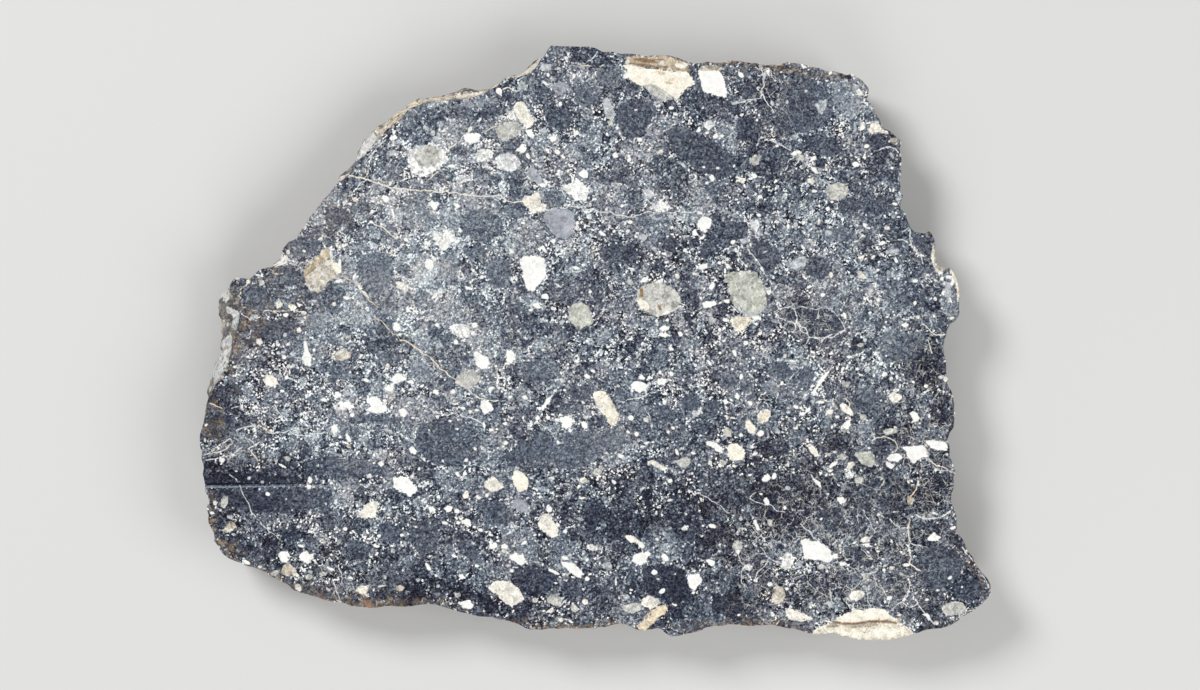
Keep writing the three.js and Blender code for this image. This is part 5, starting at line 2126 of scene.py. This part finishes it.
# flow streaks
flow = n.add("ShaderNodeMapping", vector_type="POINT")
n.plug(warped_wide, flow.inputs["Vector"])
flow.inputs["Rotation"].default_value = (0, 0, math.radians(8))
flow.inputs["Scale"].default_value = (0.09, 1.0, 1.0)
base = n.plus(base, n.mul(n.mul(n.minus(n.noise(flow.outputs[0], 3.4, 3, 0.6, 21), 0.5), streak_), 0.9))

# mapped smooth fragments, and the strip of painted shade just above the saw step
frag_and_shade_edge = n.plus(frag_and_shade_sd_, n.plus(n.mul(n.minus(n6, 0.5), 8.0), n.mul(n.minus(n13, 0.5), 13.0)))
in_frag_and_shade = n.fit(frag_and_shade_edge, -2.0, 1.6)
frag_and_shade_ground = n.plus(n.plus(0.46, n.mul(frag_and_shade_tone_, 0.20)), n.plus(n.mul(n.minus(n6, 0.5), 0.22), n.plus(n.mul(n.minus(n20, 0.5), 0.2), n.mul(zone_tone_, 0.2))))

# unmapped fragments of two sizes, also smooth
smooth_part = n.mul(in_frag_and_shade, n.fit(frag_and_shade_tone_, -0.95, -0.5, 0.62, 1.0))
tone = n.lerp(in_frag_and_shade, base, frag_and_shade_ground)
for size, shift, share, low, high in ((34, 100, 0.5, 0.24, 0.64), (15, 200, 0.5, 0.22, 0.66), (8, 300, 0.6, 0.24, 0.72)):
    c = n.cells(warped_wide if size > 20 else warped, size, "F1", shift)
    r = n.split(c.outputs["Color"])
    inside = n.mul(n.fit(c.outputs["Distance"], 0.72, 0.62), n.fit(r[0], share, share + 0.02))
    if size == 15:
        kind_15 = r[2]
    inside = n.mul(inside, n.math("SUBTRACT", 1.0, smooth_part))
    own = n.plus(n.plus(n.fit(r[1], 0, 1, low, high, False), n.mul(n.minus(n6, 0.5), 0.35)), n.mul(zone_tone_, 0.2))
    tone = n.lerp(n.mul(inside, 0.85), tone, own)
    smooth_part = n.math("MAXIMUM", smooth_part, n.mul(inside, 0.8))
free = n.math("SUBTRACT", 1.0, n.mul(smooth_part, 0.85))
tone = n.plus(tone, n.mul(n.minus(n6, 0.5), n.lerp(smooth_part, 0.38, 0.08)))

# the crushed ground: a mosaic of angular grains, each with its own tone
tiny = n.split(n.cells(warped, 1.75, "F1", 400).outputs["Color"])
small = n.cells(warped, 4.4, "F1", 500)
small_c = n.split(small.outputs["Color"])
clump = n.fit(n13, 0.34, 0.68, -0.13, 0.05, False)
clump = n.plus(clump, n.mul(dense_, 0.08))
calm = n.fit(zone_tone_, 0.1, 0.8, 1.0, 0.62)
free = n.mul(free, calm)
tone = n.plus(tone, n.mul(n.minus(tiny[0], 0.5), n.plus(n.mul(free, 0.58), 0.2)))
tone = n.plus(tone, n.mul(n.fit(n.plus(tiny[1], clump), 0.77, 0.80), n.mul(free, 0.8)))
tone = n.plus(tone, n.mul(n.minus(n2, 0.5), n.lerp(smooth_part, 1.6, 0.56)))
tone = n.plus(tone, n.mul(n.minus(small_c[2], 0.5), n.mul(free, 0.14)))
pale = n.mul(n.fit(n.plus(small_c[0], clump), 0.885, 0.895), n.fit(small.outputs["Distance"], 0.5, 0.38))
pale = n.mul(pale, n.fit(free, 0.3, 0.6))
tone = n.lerp(n.mul(pale, 0.92), tone, n.plus(0.74, n.mul(small_c[1], 0.5)))
big = n.cells(warped, 9.0, "F1", 600)
big_c = n.split(big.outputs["Color"])
tone = n.plus(tone, n.mul(n.minus(big_c[2], 0.5), n.mul(free, 0.11)))
pale = n.mul(n.fit(n.plus(big_c[0], clump), 0.95, 0.96), n.fit(big.outputs["Distance"], 0.38, 0.28))
pale = n.mul(pale, n.fit(free, 0.3, 0.6))
tone = n.lerp(n.mul(pale, 0.9), tone, n.plus(n.plus(0.78, n.mul(big_c[1], 0.3)), n.mul(n.minus(n2, 0.5), 0.5)))

ramp = n.add("ShaderNodeValToRGB")
n.plug(tone, ramp.inputs[0])
stops = ((0.0, (9, 9, 22)), (0.22, (41, 44, 62)), (0.42, (84, 92, 106)), (0.6, (131, 139, 149)), (0.8, (190, 195, 199)), (1.0, (247, 249, 248)))
for k, (place, c) in enumerate(stops):
    stop = ramp.color_ramp.elements[k] if k < 2 else ramp.color_ramp.elements.new(place)
    stop.position = place
    stop.color = (*[float(v) for v in srgb(*c)], 1)
ground = ramp.outputs[0]
# rock kinds differ a little in hue
hue = n.fit(n.plus(n.noise(at, 34, 1, 0.5, 261), n.mul(n.minus(kind_15, 0.5), 0.3)), 0.38, 0.62)
ground = n.mix(1.0, ground, n.mix(hue, (1.03, 0.99, 0.975), (0.975, 1.006, 1.015)), "MULTIPLY")
# some grains are warmer
ground = n.mix(n.mul(n.fit(small_c[1], 0.72, 0.8), 0.35), ground, n.mix(1.0, ground, (1.0, 0.93, 0.80), "MULTIPLY"))

# broken pale threads, and a net of fine cracks with pale filling where net_ is high
for size, shift, width, strength, own in ((13, 61, 0.012, 0.95, 0.22), (7, 71, 0.016, 0.85, 0.3), (4.2, 76, 0.022, 0.55, 0.2)):
    ridge = n.math("ABSOLUTE", n.minus(n.noise(warped, size, 1.2, 0.5, shift), 0.5))
    thread = n.fit(ridge, width * 0.25, width, 1.0, 0.0)
    gate = n.fit({13: n13, 7: n9, 4.2: n4}[size], 0.47, 0.56)
    thread = n.mul(n.mul(thread, gate), n.mul(n.plus(own, n.mul(net_, 0.34)), strength))
    ground = n.mix(n.math("MINIMUM", n.mul(thread, n.plus(free, net_)), 0.85), ground, n.mix(n.fit(small_c[0], 0.6, 0.8), srgb(228, 231, 233), srgb(216, 211, 198)))
for size, shift, width, strength in ((15, 800, 0.26, 0.95), (7.5, 900, 0.15, 0.6)):
    e = n.cells(warped, size, "DISTANCE_TO_EDGE", shift)
    gap = n.mul(e.outputs["Distance"], size)
    line = n.fit(gap, width * 0.3, width * 1.6, 1.0, 0.0)
    gate = n.fit(n9 if size > 10 else n13, 0.46, 0.57)
    line = n.mul(n.mul(line, gate), n.mul(net_, strength))
    ground = n.mix(line, ground, n.mix(n.fit(n20, 0.4, 0.6), srgb(234, 235, 232), srgb(226, 219, 203)))

# rust stain
rust_gate = n.mul(rust_, n.fit(n9, 0.4, 0.6))
ground = n.mix(n.mul(rust_gate, 0.75), ground, n.mix(n.fit(n4, 0.42, 0.62), srgb(74, 68, 66), n.mix(n.fit(small_c[1], 0.4, 0.9), srgb(134, 114, 94), srgb(196, 172, 138))))

# hair veins, and the saw step's painted shadow line (k) and painted highlight line (b)
vein_and_step_light_edge = n.minus(n.plus(n.mul(vein_and_step_light_width_, 1.0), n.mul(n.minus(n3, 0.5), 2.0)), vein_and_step_light_dist_)
vein_and_step_light = n.fit(vein_and_step_light_edge, -0.4, 0.12)
vein_and_step_light = n.mul(vein_and_step_light, n.fit(n6, 0.34, 0.48, 0.5, 1.0))
vein_and_step_light_colour = n.mix(n.mul(n.fit(n.minus(vein_and_step_light_width_, vein_and_step_light_dist_), -0.1, 0.5), n.fit(n.split(vein_and_step_light_rgb_)[0], 0.3, 0.5, 0.0, 0.5)), vein_and_step_light_rgb_, srgb(244, 242, 234))
ground = n.mix(vein_and_step_light, ground, vein_and_step_light_colour)

# mapped clasts
rough_edge = n.mul(clast_ragged, n.plus(n.mul(n.minus(n3, 0.5), 3.8), n.mul(n.minus(n9, 0.5), 4.0)))
edge = n.plus(clast_sd, rough_edge)
# marks on the flank are broken up, more so the deeper they reach
deep_flank = n.fit(depth_, 2.0, 22.0)
edge = n.plus(edge, n.mul(deep_flank, n.plus(n.plus(n.mul(n.minus(n6, 0.5), 11.0), n.mul(n.minus(n13, 0.5), 26.0)), -2.5)))
in_clast = n.fit(edge, -0.5, 0.6)
mott = n.mul(clast_mottle, n.fit(n6, 0.40, 0.66))
deep = n.mul(clast_mottle, n.fit(n4, 0.54, 0.70))
clast_colour = n.mix(n.mul(mott, 0.6), clast_rgb, n.mix(1.0, clast_rgb, (0.66, 0.68, 0.72), "MULTIPLY"))
clast_colour = n.mix(n.mul(deep, 0.7), clast_colour, n.mix(1.0, clast_rgb, (0.34, 0.35, 0.38), "MULTIPLY"))
grain = n.plus(n.mul(n.minus(small_c[1], 0.5), 0.5), n.plus(n.mul(n.minus(tiny[2], 0.5), 0.45), n.mul(n.minus(n2, 0.5), 0.9)))
grain = n.math("MULTIPLY_ADD", grain, n.mul(clast_mottle, 1.15), 1.0)
grain = n.plus(grain, n.mul(n.minus(n13, 0.5), n.mul(clast_mottle, 1.3)))
clast_colour = n.vec("SCALE", clast_colour, scale=grain)
clast_colour = n.mix(n.mul(n.fit(n.plus(small_c[0], n.mul(n9, 0.4)), 0.98, 1.02), n.fit(clast_mottle, 0.8, 1.1, 0.0, 0.9)), clast_colour, srgb(240, 240, 236))
colour = n.mix(in_clast, ground, clast_colour)

# the natural flank: weathered, with a thin pale crust and rust
on_flank = n.fit(depth_, 0.4, 2.4)
old = n.mix(n.fit(n20, 0.38, 0.62), srgb(84, 82, 82), srgb(142, 134, 122))
old = n.mix(n.mul(n.fit(n9, 0.52, 0.64), 0.85), old, srgb(204, 197, 182))
old = n.mix(n.fit(n4, 0.56, 0.66), old, srgb(70, 64, 62))
old = n.mix(n.mul(n.fit(n13, 0.56, 0.7), 0.5), old, srgb(150, 112, 80))
colour = n.mix(n.mul(on_flank, n.math("SUBTRACT", 0.72, n.mul(in_clast, 0.72))), colour, old)
worn = n.mul(on_flank, in_clast)
colour = n.mix(n.mul(worn, n.mul(n.fit(n6, 0.50, 0.60), 0.75)), colour, srgb(240, 236, 226))
colour = n.mix(n.mul(worn, n.mul(n.fit(n9, 0.54, 0.64), 0.6)), colour, srgb(178, 136, 92))
colour = n.mix(n.mul(worn, n.mul(n.fit(n4, 0.56, 0.64), 0.7)), colour, srgb(98, 94, 94))

# rim of the face: a broken brown line
rim_line = n.fit(n.plus(edge_, n.mul(n.minus(n6, 0.5), 3.0)), 0.6, 2.0, 1.0, 0.0)
rim_line = n.mul(rim_line, n.math("SUBTRACT", 1.0, on_flank))
rim_colour = n.mix(n.fit(n.plus(n13, n.mul(crust_, 0.12)), 0.48, 0.6), srgb(52, 46, 46), srgb(176, 134, 96))
colour = n.mix(n.mul(rim_line, n.plus(0.35, n.mul(crust_, 0.6))), colour, rim_colour)

height = n.plus(n.mul(n6, 0.25), n.mul(n2, 0.2))
height = n.lerp(on_flank, height, n.plus(n.mul(n6, 2.6), n.mul(n13, 1.6)))
bump = n.add("ShaderNodeBump")
bump.inputs["Strength"].default_value = 0.35
bump.inputs["Distance"].default_value = UNIT * 1.0
n.plug(height, bump.inputs["Height"])

shader = n.add("ShaderNodeBsdfPrincipled")
n.plug(colour, shader.inputs["Base Color"])
n.plug(n.lerp(on_flank, n.lerp(in_clast, 0.5, 0.42), 0.8), shader.inputs["Roughness"])
shader.inputs["Specular IOR Level"].default_value = 0.14
n.plug(bump.outputs["Normal"], shader.inputs["Normal"])
out = n.add("ShaderNodeOutputMaterial")
n.plug(shader.outputs[0], out.inputs["Surface"])
stone.data.materials.append(material)

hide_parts("meteorite_slice")
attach(stone, "root")

# ---- floor, light ----
floor_mesh = bpy.data.meshes.new("floor")
floor_mesh.from_pydata([(-2, -2, 0), (2, -2, 0), (2, 2, 0), (-2, 2, 0)], [], [(0, 1, 2, 3)])
floor = bpy.data.objects.new("floor", floor_mesh)
bpy.context.scene.collection.objects.link(floor)
floor_material = bpy.data.materials.new("floor")
floor_material.use_nodes = True
floor_shader = floor_material.node_tree.nodes["Principled BSDF"]
floor_shader.inputs["Base Color"].default_value = (0.72, 0.72, 0.71, 1)
floor_shader.inputs["Roughness"].default_value = 0.9
floor_mesh.materials.append(floor_material)

world = bpy.data.worlds.new("world")
bpy.context.scene.world = world
world.use_nodes = True
world.node_tree.nodes["Background"].inputs[0].default_value = (1, 1, 1, 1)
world.node_tree.nodes["Background"].inputs[1].default_value = 0.27


def light(name, place, aim, size, power):
    data = bpy.data.lights.new(name, "AREA")
    data.shape = "DISK"
    data.size = size
    data.energy = power
    o = bpy.data.objects.new(name, data)
    o.location = place
    o.rotation_euler = (Vector(aim) - Vector(place)).to_track_quat("-Z", "Y").to_euler()
    bpy.context.scene.collection.objects.link(o)


light("key", (-0.42, 0.38, 0.55), (0, 0, 0), 0.30, 3.7)
light("fill", (0.5, -0.2, 0.45), (0, 0, 0), 0.5, 1.95)
light("front", (0.0, -0.55, 0.35), (0, 0, 0), 0.4, 1.25)
